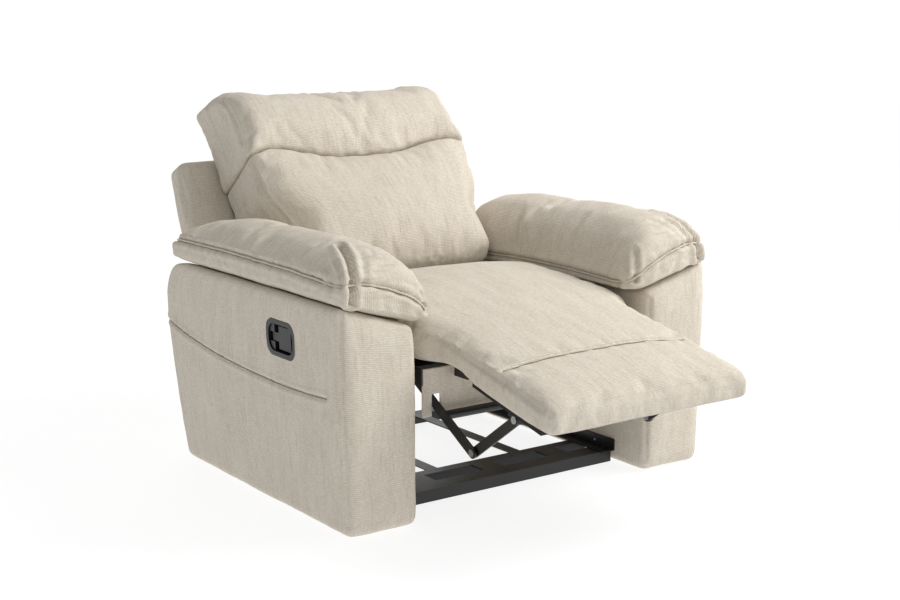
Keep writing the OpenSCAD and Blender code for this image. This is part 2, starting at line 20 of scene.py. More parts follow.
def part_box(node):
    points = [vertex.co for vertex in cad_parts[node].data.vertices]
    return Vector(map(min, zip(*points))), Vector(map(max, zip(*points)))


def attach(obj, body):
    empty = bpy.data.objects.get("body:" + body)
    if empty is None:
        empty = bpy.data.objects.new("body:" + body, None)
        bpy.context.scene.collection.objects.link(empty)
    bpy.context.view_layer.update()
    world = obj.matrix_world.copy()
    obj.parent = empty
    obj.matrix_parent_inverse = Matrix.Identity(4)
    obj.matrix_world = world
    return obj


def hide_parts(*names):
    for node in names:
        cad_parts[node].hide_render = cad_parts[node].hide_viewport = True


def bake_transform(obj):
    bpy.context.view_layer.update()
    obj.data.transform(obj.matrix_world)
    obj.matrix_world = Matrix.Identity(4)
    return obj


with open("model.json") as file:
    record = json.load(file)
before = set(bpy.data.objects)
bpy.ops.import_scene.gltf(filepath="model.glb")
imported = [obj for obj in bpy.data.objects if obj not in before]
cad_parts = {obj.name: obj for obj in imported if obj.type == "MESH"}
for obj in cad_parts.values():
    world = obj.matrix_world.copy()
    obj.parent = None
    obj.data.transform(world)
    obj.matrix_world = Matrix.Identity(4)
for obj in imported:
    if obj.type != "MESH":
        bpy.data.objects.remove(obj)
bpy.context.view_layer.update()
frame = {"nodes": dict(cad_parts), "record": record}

log = logging.getLogger("recliner")
MM = 0.001
WEAVE = "weave"

Array = np.ndarray
Colour = tuple[float, float, float, float]
Point = tuple[float, float, float]


class Side(Enum):
    """The two sides of the chair, by the sign of X."""

    LEFT = 1
    RIGHT = -1

    @property
    def word(self) -> str:
        """The side's name, as it ends a node's name."""
        return self.name.lower()


class Panel(Enum):
    """The faces of a pad's lattice, by the axis that they look along."""

    SIDE = 0
    END = 1
    TOP = 2


class Grain(Enum):
    """Which way the cloth's ribs run on a pad's top and ends."""

    ACROSS = 0
    LENGTHWISE = 1


# ---- Small helpers ----


def linear(code: str) -> Colour:
    """Turn an sRGB hex colour to linear light.

    Args:
        code: six hex digits, such as "D8D0C2".

    Returns:
        Linear red, green and blue, and an alpha of 1.
    """
    parts = [int(code[i : i + 2], 16) / 255 for i in (0, 2, 4)]
    lit = [p / 12.92 if p <= 0.04045 else ((p + 0.055) / 1.055) ** 2.4 for p in parts]
    return (lit[0], lit[1], lit[2], 1.0)


def add(tree: bpy.types.NodeTree, kind: str, inputs: dict | None = None,
        **settings: object) -> bpy.types.Node:
    """Add one shader node with its settings, values and links.

    Args:
        tree: the node tree.
        kind: the node's type after "ShaderNode".
        inputs: input name or number to a value, or to the socket it is linked from.
        settings: the node's own properties.

    Returns:
        The new node.
    """
    made = tree.nodes.new("ShaderNode" + kind)
    for name, value in settings.items():
        setattr(made, name, value)
    for key, value in (inputs or {}).items():
        if isinstance(value, bpy.types.NodeSocket):
            tree.links.new(value, made.inputs[key])
        else:
            made.inputs[key].default_value = value
    return made


def blend_colours(tree: bpy.types.NodeTree, share: bpy.types.NodeSocket, first: Colour | bpy.types.NodeSocket,
                  second: Colour | bpy.types.NodeSocket) -> bpy.types.NodeSocket:
    """Mix two colours.

    Args:
        tree: the node tree.
        share: the second colour's share, from 0 to 1.
        first: a colour, or the socket that it comes from.
        second: the other colour.

    Returns:
        The mixed colour's socket.
    """
    # A Mix node's colour sockets are inputs 6 and 7 and output 2
    return add(tree, "Mix", {0: share, 6: first, 7: second}, data_type="RGBA").outputs[2]


def new_material(name: str) -> tuple[bpy.types.Material, bpy.types.NodeTree]:
    """Start a material.

    Args:
        name: the material's name.

    Returns:
        The material and its node tree, which is empty.
    """
    material = bpy.data.materials.new(name)
    material.use_nodes = True
    material.node_tree.nodes.clear()
    return material, material.node_tree


def close_material(tree: bpy.types.NodeTree, shader: bpy.types.Node) -> None:
    """Link a shader to the material's output."""
    add(tree, "OutputMaterial", {"Surface": shader.outputs[0]})


def object_from(name: str, bm: bmesh.types.BMesh) -> bpy.types.Object:
    """Make a smooth shaded object of a bmesh, and free the bmesh.

    Args:
        name: the object's and the mesh's name.
        bm: the bmesh.

    Returns:
        The object.
    """
    mesh = bpy.data.meshes.new(name)
    bm.to_mesh(mesh)
    bm.free()
    mesh.shade_smooth()
    made = bpy.data.objects.new(name, mesh)
    bpy.context.scene.collection.objects.link(made)
    return made


def dress(obj: bpy.types.Object, material: bpy.types.Material) -> None:
    """Give an object one material in place of what it has."""
    obj.data.materials.clear()
    obj.data.materials.append(material)


def read_vectors(items: bpy.types.bpy_prop_collection, name: str) -> Array:
    """Read one vector of every vertex or face.

    Args:
        items: the mesh's vertices or polygons.
        name: the vector's name, such as "co".

    Returns:
        The vectors as an N by 3 array.
    """
    flat = np.empty(len(items) * 3)
    items.foreach_get(name, flat)
    return flat.reshape(-1, 3)


def points_of(mesh: bpy.types.Mesh) -> Array:
    """A mesh's vertices as an N by 3 array."""
    return read_vectors(mesh.vertices, "co")


def normals_of(mesh: bpy.types.Mesh) -> Array:
    """A mesh's vertex normals as an N by 3 array."""
    return read_vectors(mesh.vertices, "normal")


def set_points(mesh: bpy.types.Mesh, points: Array) -> None:
    """Move a mesh's vertices to an N by 3 array."""
    mesh.vertices.foreach_set("co", np.ascontiguousarray(points, dtype=np.float32).ravel())
    mesh.update()


def freeze(obj: bpy.types.Object) -> None:
    """Replace an object's mesh by what its modifiers make of it.

    Args:
        obj: the object, which has no modifiers afterwards.
    """
    graph = bpy.context.evaluated_depsgraph_get()
    graph.update()
    old = obj.data
    shown = obj.evaluated_get(graph)
    obj.data = bpy.data.meshes.new_from_object(shown, preserve_all_data_layers=True, depsgraph=graph)
    obj.modifiers.clear()
    obj.data.name = obj.name
    bpy.data.meshes.remove(old)


def smooth_step(x: Array, low: float, high: float) -> Array:
    """Rise smoothly from 0 at low to 1 at high."""
    t = np.clip((x - low) / (high - low), 0, 1)
    return t * t * (3 - 2 * t)


def along(x: Array, places: list[tuple[float, float]]) -> Array:
    """Read a profile with its corners eased.

    Args:
        x: where to read it.
        places: the profile's corners, as (place, value) pairs.

    Returns:
        The profile's value at each place.
    """
    xs, ys = np.array(sorted(places)).T
    reach = 0.3 * np.min(np.diff(xs))
    return (np.interp(x - reach, xs, ys) + 2 * np.interp(x, xs, ys) + np.interp(x + reach, xs, ys)) / 4


def spline(points: list[Point], step: float = 4 * MM) -> Array:
    """Draw a Catmull-Rom curve through some points.

    Args:
        points: the points that it passes.
        step: about how far apart its samples are.

    Returns:
        The samples as an N by 3 array.
    """
    p = np.array(points, float)
    p = np.vstack([2 * p[0] - p[1], p, 2 * p[-1] - p[-2]])
    out = []
    for a, b, c, d in zip(p, p[1:], p[2:], p[3:]):
        count = max(2, int(np.linalg.norm(c - b) / step))
        t = np.linspace(0, 1, count, endpoint=False)[:, None]
        bow = (2 * a - 5 * b + 4 * c - d) * t**2
        out.append(0.5 * (2 * b + (c - a) * t + bow + (3 * b - a - 3 * c + d) * t**3))
    out.append(p[-2][None])
    return np.vstack(out)


def eased(line: Array, rounds: int) -> Array:
    """Smooth a line, with its two ends kept.

    Args:
        line: its points, or a vector at each.
        rounds: how many times each is averaged with its neighbours.

    Returns:
        The smoothed line.
    """
    line = line.copy()
    for _ in range(rounds):
        line[1:-1] = (line[:-2] + 2 * line[1:-1] + line[2:]) / 4
    return line


def ripple(points: Array, wave: float, seed: float) -> Array:
    """Smooth noise from -1 to 1 at each point, with humps about a wave apart."""
    shift = Vector((seed, 1.7 * seed, -seed))
    return np.array([noise.noise(Vector(p) / wave + shift) for p in points])


def bend_profile(q: Array, half: Array, radius: Array) -> Array:
    """Map the surface of a cube from -1 to 1 to a box with rounded edges.

    Args:
        q: points on the cube's surface.
        half: the box's half sizes.
        radius: the rounding's reach along each axis, for all the points or for each.

    Returns:
        The points on the rounded box.
    """
    p = q * half
    core = np.clip(p, radius - half, half - radius)
    d = (p - core) / radius
    length = np.maximum(np.linalg.norm(d, axis=1, keepdims=True), 1e-9)
    return core + radius * d * np.abs(d).max(axis=1, keepdims=True) / length


# ---- Finishes ----


@dataclass(frozen=True)
class Chenille:
    """Woven beige chenille: fat, soft ribs of broken slubs, matt, with a short pile that takes the light."""

    light: str = "E6E0D5"
    dark: str = "C2B7A6"
    groove: str = "ADA08D"
    rib: float = 4.2 * MM  # real ribs are 2 mm apart; drawn wider so that they show
    slub: float = 19 * MM  # length of a fat stretch of yarn
    block: float = 34 * MM  # width of the light and dark blocks in the weave
    depth: float = 0.8 * MM  # height of a rib
    wander: float = 26.0  # bends a metre in a rib's path
    grooves: tuple[float, float] = (150.0, 14.0)  # thin grooves a metre, across and along the warp
    pile: float = 620.0  # tufts a metre: each is about 1.6 mm

    def make(self) -> bpy.types.Material:
        """Build the material on the weave's own map, in metres."""
        material, tree = new_material("chenille_weave")
        cloth = add(tree, "UVMap", uv_map=WEAVE).outputs[0]
        split = add(tree, "SeparateXYZ", {0: cloth})
        # Ribs: rows a pitch apart that wander a little, as the pile does
        sway = add(tree, "TexNoise", {"Vector": cloth, "Scale": self.wander, "Detail": 2.0},
                   noise_dimensions="2D")
        row = add(tree, "Math", {0: sway.outputs[0], 1: 0.9 * self.rib, 2: split.outputs[1]},
                  operation="MULTIPLY_ADD")
        rows = add(tree, "Math", {0: row.outputs[0], 1: 1 / self.rib}, operation="MULTIPLY")
        turn = add(tree, "Math", {0: rows.outputs[0], 1: math.tau}, operation="MULTIPLY")
        wave = add(tree, "Math", {0: turn.outputs[0]}, operation="SINE")
        rib = add(tree, "MapRange", {"Value": wave.outputs[0], 1: -1.0, 2: 0.7, 3: 0.0, 4: 1.0})
        # Slubs: each row has fat and thin stretches of its own
        number = add(tree, "Math", {0: rows.outputs[0]}, operation="FLOOR")
        place = add(tree, "Math", {0: split.outputs[0], 1: 1 / self.slub}, operation="MULTIPLY")
        spot = add(tree, "CombineXYZ", {0: place.outputs[0], 1: number.outputs[0]})
        slub = add(tree, "TexNoise", {"Vector": spot.outputs[0], "Scale": 1.9, "Detail": 3.0,
                                      "Roughness": 0.65}, noise_dimensions="2D")
        fat = add(tree, "MapRange", {"Value": slub.outputs[0], 1: 0.36, 2: 0.62, 3: 0.25, 4: 1.0})
        height = add(tree, "Math", {0: rib.outputs[0], 1: fat.outputs[0]}, operation="MULTIPLY")
        # Blocks and thin grooves along the warp
        long = add(tree, "Mapping", {"Vector": cloth, "Scale": (1 / self.block, 0.22 / self.block, 1.0)})
        block = add(tree, "TexNoise", {"Vector": long.outputs[0], "Scale": 1.0, "Detail": 2.0},
                    noise_dimensions="2D")
        thin = add(tree, "Mapping", {"Vector": cloth, "Scale": (*self.grooves, 1.0)})
        line = add(tree, "TexNoise", {"Vector": thin.outputs[0], "Scale": 1.0, "Detail": 1.0},
                   noise_dimensions="2D")
        cut = add(tree, "MapRange", {"Value": line.outputs[0], 1: 0.60, 2: 0.74, 3: 0.0, 4: 0.28})
        fuzz = add(tree, "TexNoise", {"Vector": cloth, "Scale": self.pile, "Detail": 2.0},
                   noise_dimensions="2D")
        # Colour: ribs light, gaps dark, blocks a shade apart, and grooves darkest
        patch = add(tree, "MapRange", {"Value": block.outputs[0], 1: 0.3, 2: 0.7, 3: -0.08, 4: 0.08})
        lift = add(tree, "Math", {0: height.outputs[0], 1: 0.62, 2: patch.outputs[0]},
                   operation="MULTIPLY_ADD")
        tone = add(tree, "Math", {0: fuzz.outputs[0], 1: 0.34, 2: lift.outputs[0]}, operation="MULTIPLY_ADD")
        yarn = blend_colours(tree, tone.outputs[0], linear(self.dark), linear(self.light))
        inked = blend_colours(tree, cut.outputs[0], yarn, linear(self.groove))
        # Relief: the same ribs and grooves, with the pile on them
        deep = add(tree, "Math", {0: cut.outputs[0], 1: -0.7, 2: height.outputs[0]}, operation="MULTIPLY_ADD")
        rough = add(tree, "Math", {0: fuzz.outputs[0], 1: 0.35, 2: deep.outputs[0]}, operation="MULTIPLY_ADD")
        bump = add(tree, "Bump", {"Strength": 0.6, "Distance": self.depth, "Height": rough.outputs[0]})
        shader = add(tree, "BsdfPrincipled", {
            "Base Color": inked, "Roughness": 0.92, "Specular IOR Level": 0.25,
            "Sheen Weight": 0.15, "Sheen Roughness": 0.45, "Sheen Tint": linear("FFFAF2"),
            "Normal": bump.outputs[0]})
        close_material(tree, shader)
        return material


@dataclass(frozen=True)
class Speckled:
    """A solid finish with fine grain: one or two tones, a soft bump and its own gloss."""

    name: str
    base: str
    tone: str
    roughness: float
    grain: float  # size of the grain, in metres
    depth: float  # height of the grain, in metres
    metallic: float = 0.0
    coat: float = 0.0
    stretch: Point = (1.0, 1.0, 1.0)
    cloud: float = 9.0  # slow patches a metre

    def make(self) -> bpy.types.Material:
        """Build the material on object coordinates."""
        material, tree = new_material(self.name)
        place = add(tree, "TexCoord").outputs["Object"]
        fine = add(tree, "Mapping", {"Vector": place, "Scale": [s / self.grain for s in self.stretch]})
        speck = add(tree, "TexNoise", {"Vector": fine.outputs[0], "Scale": 1.0, "Detail": 3.0})
        cloud = add(tree, "TexNoise", {"Vector": place, "Scale": self.cloud, "Detail": 2.0})
        both = add(tree, "Math", {0: speck.outputs[0], 1: cloud.outputs[0]}, operation="MULTIPLY")
        share = add(tree, "MapRange", {"Value": both.outputs[0], 1: 0.12, 2: 0.42})
        colour = blend_colours(tree, share.outputs[0], linear(self.base), linear(self.tone))
        worn = add(tree, "MapRange", {"Value": cloud.outputs[0], 1: 0.3, 2: 0.7,
                                      3: 0.85 * self.roughness, 4: min(1.0, 1.15 * self.roughness)})
        bump = add(tree, "Bump", {"Strength": 0.5, "Distance": self.depth, "Height": speck.outputs[0]})
        shader = add(tree, "BsdfPrincipled", {
            "Base Color": colour, "Roughness": worn.outputs[0], "Metallic": self.metallic,
            "Coat Weight": self.coat, "Coat Roughness": 0.3, "Normal": bump.outputs[0]})
        close_material(tree, shader)
        return material


# Black polyester powder coat, baked on steel: a faint orange peel under a satin gloss
POWDER_COAT = Speckled("powder_coat_black", "08080A", "121214", 0.40, 1.6 * MM, 0.12 * MM, coat=0.1)
# Bright zinc plate on rivets and pins: cool grey metal, slightly cloudy
ZINC_PLATE = Speckled("zinc_plate", "9EA0A2", "C9CBCC", 0.34, 2.5 * MM, 0.03 * MM, metallic=1.0)
# Drawn spring wire: darker grey metal with a fine draw
SPRING_STEEL = Speckled("spring_steel_wire", "6F7072", "9B9C9E", 0.38, 1.2 * MM, 0.03 * MM, metallic=1.0)
# Moulded black ABS with spark-eroded grain: soft highlights on the bezel and paddle
MOULDED_ABS = Speckled("moulded_abs_black", "0F0F10", "1B1B1D", 0.36, 0.9 * MM, 0.10 * MM)
# Natural nylon, moulded: milky and waxy
NYLON = Speckled("moulded_nylon", "D9D7CF", "E8E6DF", 0.45, 1.5 * MM, 0.05 * MM)
# Birch plywood, sanded: long pale grain
PLYWOOD = Speckled("birch_plywood", "B08D5F", "D6B98A", 0.62, 3.0 * MM, 0.15 * MM, stretch=(1.0, 0.06, 1.0))
# Spun-bonded polypropylene cloth: black, matt, with a pressed dot texture
DUST_CLOTH = Speckled("spunbond_dust_cloth", "121213", "232325", 0.88, 1.4 * MM, 0.20 * MM)
# A fine line of polyester, darker than the cloth: laid sunk in each seam, it paints the shade of the seam's
# fold
SEAM_SHADE_THREAD = Speckled("polyester_thread", "7C7161", "978B78", 0.6, 0.8 * MM, 0.05 * MM)
# PVC jacket of the release cable: smooth and slightly shiny
CABLE_JACKET = Speckled("pvc_cable_jacket", "0E0E0F", "19191A", 0.36, 4.0 * MM, 0.03 * MM)


# ---- Padded pieces ----


# How a pad's cloth behaves while it is blown up
PADDING_CLOTH = {
    "quality": 5, "mass": 0.3, "tension_stiffness": 15, "compression_stiffness": 15, "shear_stiffness": 5,
    "bending_stiffness": 0.8, "use_pressure": True, "vertex_group_mass": "hold", "shrink_min": -0.035}
SWELL_FRAMES = 20
# How far along the roll each panel's cloth is cut, so that no two panels show the same slubs
PANEL_CUT = (0.9, 1.7)
FACE_CUT = (2.9, 0.31)
# Radius of the dark line of painted shade sunk in a seam
SEAM_SHADE_RADIUS = 0.9 * MM
# Rounds of smoothing along a seam's line
SEAM_ROUNDS = 24


@dataclass
class Pad:
    """A cushion on a lattice: it is shaped, blown up as cloth, subdivided and then sewn."""

    name: str
    half: Point
    radius: Point
    cells: tuple[int, int, int]
    fill: float
    cap: float = 22 * MM  # how far a point may travel as the pad swells
    pressure: float = 4.0
    grain: Grain = Grain.ACROSS
    soft: bool = True  # whether it is blown up
    humps: tuple[float, float] = (1.6 * MM, 0.11)  # height and wave of the cushion's slow unevenness
    dimples: tuple[float, float] = (0.6 * MM, 0.035)  # and of the small one on it
    obj: bpy.types.Object = field(init=False)
    # The dark lines of painted shade in the pad's seams
    threads: list[Array] = field(init=False, default_factory=list)

    def place(self, q: Array, p: Array) -> Array:
        """Move the rounded box's points to the piece's shape. Each piece has its own.

        Args:
            q: the lattice's points on a cube from -1 to 1.
            p: the same points on the rounded box.

        Returns:
            The points in the chair's frame.
        """
        raise NotImplementedError

    def rounding(self, q: Array) -> Array:
        """How far the edges' rounding reaches along each axis."""
        return np.array(self.radius)

    def hold(self, q: Array) -> Array:
        """How firmly each point is held while the pad swells, from 0 to 1."""
        return np.where(q[:, 2] < -0.99, 1.0, 0.06)

    def build(self) -> None:
        """Make the lattice, map it to the piece's shape and lay the weave's map on it."""
        bm = bmesh.new()
        bmesh.ops.create_cube(bm, size=2)
        for axis, count in enumerate(self.cells):
            runs = [e for e in bm.edges if abs((e.verts[0].co - e.verts[1].co)[axis]) > 1e-5]
            bmesh.ops.subdivide_edges(bm, edges=runs, cuts=count - 1, use_grid_fill=True)
        self.obj = object_from(self.name, bm)
        mesh = self.obj.data
        q = points_of(mesh)
        self.lay_weave(mesh, q)
        hold = self.hold(q)
        group = self.obj.vertex_groups.new(name="hold")
        for i, weight in enumerate(hold):
            if weight > 0:
                group.add([i], float(weight), "REPLACE")
        set_points(mesh, self.place(q, bend_profile(q, np.array(self.half), self.rounding(q))))

    def weave_place(self, q: Array) -> Array:
        """Where the lattice's points lie in the flat cloth, in metres."""
        return q * np.array(self.half)

    def lay_weave(self, mesh: bpy.types.Mesh, q: Array) -> None:
        """Write the cloth's map, in metres, panel by panel.

        Args:
            mesh: the lattice, still a cube.
            q: its points.
        """
        corner = np.empty(len(mesh.loops), int)
        mesh.loops.foreach_get("vertex_index", corner)
        facing = np.repeat(read_vectors(mesh.polygons, "normal"), 4, axis=0)
        axis = np.abs(facing).argmax(axis=1)
        p = self.weave_place(q)[corner]
        flat = {
            (Panel.SIDE, Grain.ACROSS): (1, 2), (Panel.SIDE, Grain.LENGTHWISE): (1, 2),
            (Panel.END, Grain.ACROSS): (0, 2), (Panel.END, Grain.LENGTHWISE): (2, 0),
            (Panel.TOP, Grain.ACROSS): (0, 1), (Panel.TOP, Grain.LENGTHWISE): (1, 0)}
        uv = np.zeros((len(corner), 2))
        for panel in Panel:
            on = axis == panel.value
            u, v = flat[(panel, self.grain)]
            turned = facing[on, panel.value] > 0
            uv[on, 0] = p[on, u] + PANEL_CUT[0] * panel.value + FACE_CUT[0] * turned
            uv[on, 1] = p[on, v] + PANEL_CUT[1] * panel.value + FACE_CUT[1] * turned
        mesh.uv_layers.new(name=WEAVE).data.foreach_set("uv", uv.astype(np.float32).ravel())

    def settle(self, swollen: Array) -> None:
        """Take the swollen shape, with each point's travel capped.

        Args:
            swollen: where the cloth simulation put the points.
        """
        rest = points_of(self.obj.data)
        move = swollen - rest
        far = np.maximum(np.linalg.norm(move, axis=1, keepdims=True), 1e-9)
        set_points(self.obj.data, rest + move / far * self.cap * np.tanh(far / self.cap))

    def refine(self) -> None:
        """Subdivide once, and give the cloth the slow unevenness of a used cushion."""
        self.obj.modifiers.new("Subdivision", "SUBSURF").levels = 1
        self.obj.modifiers[0].render_levels = 1
        freeze(self.obj)
        mesh = self.obj.data
        points = points_of(mesh)
        seed = sum(map(ord, self.name)) % 37
        rise = self.humps[0] * ripple(points, self.humps[1], seed)
        rise += self.dimples[0] * ripple(points, self.dimples[1], seed + 5)
        set_points(mesh, points + normals_of(mesh) * rise[:, None])

    def surface(self) -> BVHTree:
        """A tree that finds the nearest place on the pad."""
        mesh = self.obj.data
        return BVHTree.FromPolygons([v.co for v in mesh.vertices], [p.vertices for p in mesh.polygons])

    def trace(self, points: list[Point]) -> tuple[Array, Array]:
        """Draw an even line on the pad's surface through some points near it.

        Args:
            points: places near the surface that the line passes.

        Returns:
            The line's points and the normals there.
        """
        tree = self.surface()
        found = [tree.find_nearest(Vector(p)) for p in spline(points)]
        path, out = (eased(np.array([f[i] for f in found]), SEAM_ROUNDS) for i in (0, 1))
        return path, out / np.linalg.norm(out, axis=1, keepdims=True)

    def press(self, path: Array, depth: float, width: float, lip: float = 0.0) -> None:
        """Press a seam or a fold into the pad along a path on its surface.

        Args:
            path: points on the surface.
            depth: how deep the line is, or with a minus sign how high.
            width: how far from the line it fades to a third.
            lip: how far the cloth puffs up beside it.
        """
        mesh = self.obj.data
        tree = KDTree(len(path))
        for i, p in enumerate(path):
            tree.insert(Vector(p), i)
        tree.balance()
        points = points_of(mesh)
        gap = np.array([tree.find(Vector(p))[2] for p in points])
        puff = lip * np.exp(-(((gap - 2.2 * width) / (1.1 * width)) ** 2))
        rise = puff - depth * np.exp(-((gap / width) ** 2))
        set_points(mesh, points + normals_of(mesh) * rise[:, None])

    def sew(self, points: list[Point], depth: float, width: float, lip: float, thread: bool = True) -> None:
        """Sew a seam through some points near the surface.

        Args:
            points: places that the seam passes.
            depth: how deep it is pulled in.
            width: how far from it the cloth is drawn down.
            lip: how far the cloth puffs up beside it.
            thread: whether a dark line of painted shade is laid in it, as on a seam but not in a fold.
        """
        sunk = 0.35 * depth
        path, out = self.trace(points)
        self.press(path, depth, width, lip)
        # A dark line sunk into the seam paints the shade of its fold
        if thread:
            self.threads.append(path - sunk * out)

    def pipe(self, name: str, points: list[Point], depth: float, width: float,
             radius: float) -> bpy.types.Object:
        """Press a groove round the pad and lay a round welt in it.

        Args:
            name: the welt's name.
            points: places near the surface that it passes.
            depth: how deep the groove is.
            width: how wide the groove is.
            radius: the welt's radius.

        Returns:
            The welt, a closed mesh tube.
        """
        lip, sunk, shade_sunk = 0.4 * depth, 0.6 * depth, 0.8 * depth
        path, out = self.trace(points)
        self.press(path, depth, width, lip)
        # A dark line sunk under the welt paints the shade beneath it
        self.threads.append(path + (radius - shade_sunk) * out - radius * np.array([0, 0, 1.0]))
        return tube(name, [path + (radius - sunk) * out], radius)

    def stitching(self) -> bpy.types.Object:
        """Draw the dark lines of painted shade in every seam on the pad that has them."""
        return tube(f"{self.name}_stitching", self.threads, SEAM_SHADE_RADIUS, sides=4)


def tube(name: str, paths: list[Array], radius: float, sides: int = 6) -> bpy.types.Object:
    """Sweep a round tube along each of some paths, with the ends closed.

    Args:
        name: the object's name.
        paths: the centre lines, each an N by 3 array.
        radius: the tubes' radius.
        sides: how many faces a tube has round it, an even number from 4.

    Returns:
        The tubes as one object, with the weave's map on it.
    """
    curve = bpy.data.curves.new(name, "CURVE")
    curve.dimensions = "3D"
    curve.bevel_depth = radius
    curve.bevel_resolution = sides // 2 - 2
    curve.use_fill_caps = True
    for path in paths:
        line = curve.splines.new("POLY")
        line.points.add(len(path) - 1)
        line.points.foreach_set("co", np.c_[path, np.ones(len(path))].ravel())
    holder = bpy.data.objects.new(name + "_line", curve)
    bpy.context.scene.collection.objects.link(holder)
    bpy.context.view_layer.update()
    mesh = bpy.data.meshes.new_from_object(holder)
    bpy.data.objects.remove(holder)
    mesh.name = name
    bm = bmesh.new()
    bm.from_mesh(mesh)
    bpy.data.meshes.remove(mesh)
    bmesh.ops.remove_doubles(bm, verts=bm.verts, dist=0.01 * MM)
    bmesh.ops.recalc_face_normals(bm, faces=bm.faces)
    layer = bm.loops.layers.uv.new(WEAVE)
    for face in bm.faces:
        for loop in face.loops:
            spot = loop.vert.co
            loop[layer].uv = (spot.x + spot.y, spot.z + 0.3 * spot.y)
    return object_from(name, bm)


def inflate(pads: list[Pad]) -> None:
    """Blow the soft pads up together as closed cloth, so that they swell and pucker at what holds them.

    Args:
        pads: the pads, each with its lattice built.
    """
    scene = bpy.context.scene
    for pad in pads:
        cloth = pad.obj.modifiers.new("Cloth", "CLOTH")
        cloth.point_cache.frame_start = 1
        cloth.point_cache.frame_end = SWELL_FRAMES
        cloth.collision_settings.use_collision = False
        for name, value in PADDING_CLOTH.items():
            setattr(cloth.settings, name, value)
        cloth.settings.uniform_pressure_force = pad.pressure
        cloth.settings.effector_weights.gravity = 0
    for number in range(1, SWELL_FRAMES + 1):
        scene.frame_set(number)
    graph = bpy.context.evaluated_depsgraph_get()
    swollen = [points_of(pad.obj.evaluated_get(graph).data) for pad in pads]
    for pad, shape in zip(pads, swollen):
        pad.obj.modifiers.clear()
        pad.settle(shape)
    scene.frame_set(1)


# ---- The chair's sub-assemblies ----


@dataclass
class ArmPiece(Pad):
    """A pad of one arm, shaped for the left arm and mirrored for the right one."""

    side: Side = Side.LEFT
    arm_inner: float = 317.5 * MM
    arm_width: float = 190 * MM

    def build(self) -> None:
        """Build the pad, and turn the mirrored one's faces outwards."""
        super().build()
        if self.side is Side.RIGHT:
            self.obj.data.flip_normals()

    def across(self, points: list[Point]) -> list[Point]:
        """Points given for the left arm, on this pad's side."""
        return [(self.side.value * x, y, z) for x, y, z in points]


@dataclass
class ArmBox(ArmPiece):
    """The padded cover of one arm box, thinly foamed, with its cloth pulled flat."""

    taper: float = 18 * MM
    top: float = 487 * MM
    fall: float = 59 * MM
    floor_gap: float = 4 * MM
    puff: float = 7 * MM
    sole: float = 5 * MM

    def front(self, z: Array) -> Array:
        """The front face's place at a height."""
        return along(z, [(0.0, -0.316), (0.03, -0.321), (0.25, -0.321), (0.42, -0.318), (0.487, -0.310)])

    def rear(self, z: Array) -> Array:
        """The rear face's place at a height: it leans back and rounds over at the top."""
        return along(z, [(0.0, 0.424), (0.02, 0.434), (0.134, 0.464), (0.25, 0.486), (0.34, 0.496),
                         (0.40, 0.494), (0.435, 0.480), (0.462, 0.456), (0.478, 0.428), (0.487, 0.392)])

    def place(self, q: Array, p: Array) -> Array:
        """Shape the box: outer face leaning in to the floor, round rear, top falling to the seat.

        Args:
            q: the lattice's points on a cube from -1 to 1.
            p: the same points on the rounded box.

        Returns:
            The points in the chair's frame.
        """
        x, y, z = (p / np.array(self.half)).T
        height = self.floor_gap + (z + 1) / 2 * (self.top - self.floor_gap)
        share = (x + 1) / 2
        outer = self.arm_inner + self.arm_width - self.taper * (1 - height / self.top)
        swell = (1 - np.abs(q[:, 1]) ** 4) * (1 - np.abs(q[:, 2]) ** 4)
        spread = self.arm_inner + share * (outer - self.arm_inner)
        spread += self.puff * swell * smooth_step(x, 0.4, 1.0) * 0.5
        deep = self.front(height) + (y + 1) / 2 * (self.rear(height) - self.front(height))
        nose = (1 - np.abs(q[:, 0]) ** 4) * (1 - np.abs(q[:, 2]) ** 4)
        deep -= self.puff * nose * smooth_step(-y, 0.9, 1.0)
        height -= self.fall * (1 - share) * np.clip(height / self.top, 0, 1) ** 4
        return np.c_[self.side.value * spread, deep, height]

    def rounding(self, q: Array) -> Array:
        """Round the box's edges, but only a little where it stands."""
        reach = np.tile(self.radius, (len(q), 1))
        reach[:, 2] += (self.sole - reach[:, 2]) * smooth_step(-q[:, 2], 0.0, 0.9)
        return reach

    def sew_seams(self) -> None:
        """Sew the long seam across the outer face, and the seams down the front face's two edges."""
        face = self.arm_inner + self.arm_width
        long = [(0.497, 0.334), (0.39, 0.313), (0.228, 0.294), (0.06, 0.284), (-0.127, 0.282),
                (-0.258, 0.289)]
        self.sew(self.across([(face, y, z) for y, z in long]), depth=4.5 * MM, width=4 * MM, lip=2 * MM)
        outer = [(face - 13 * MM - self.taper * (1 - z / self.top), -0.305, z)
                 for z in (0.03, 0.12, 0.22, 0.33, 0.44, 0.475)]
        self.sew(self.across(outer), depth=2.5 * MM, width=4 * MM, lip=1.2 * MM, thread=False)
        inner = [(self.arm_inner + 12 * MM, -0.312, z) for z in (0.03, 0.15, 0.3, 0.41)]
        self.sew(self.across(inner), depth=2 * MM, width=4 * MM, lip=1 * MM, thread=False)


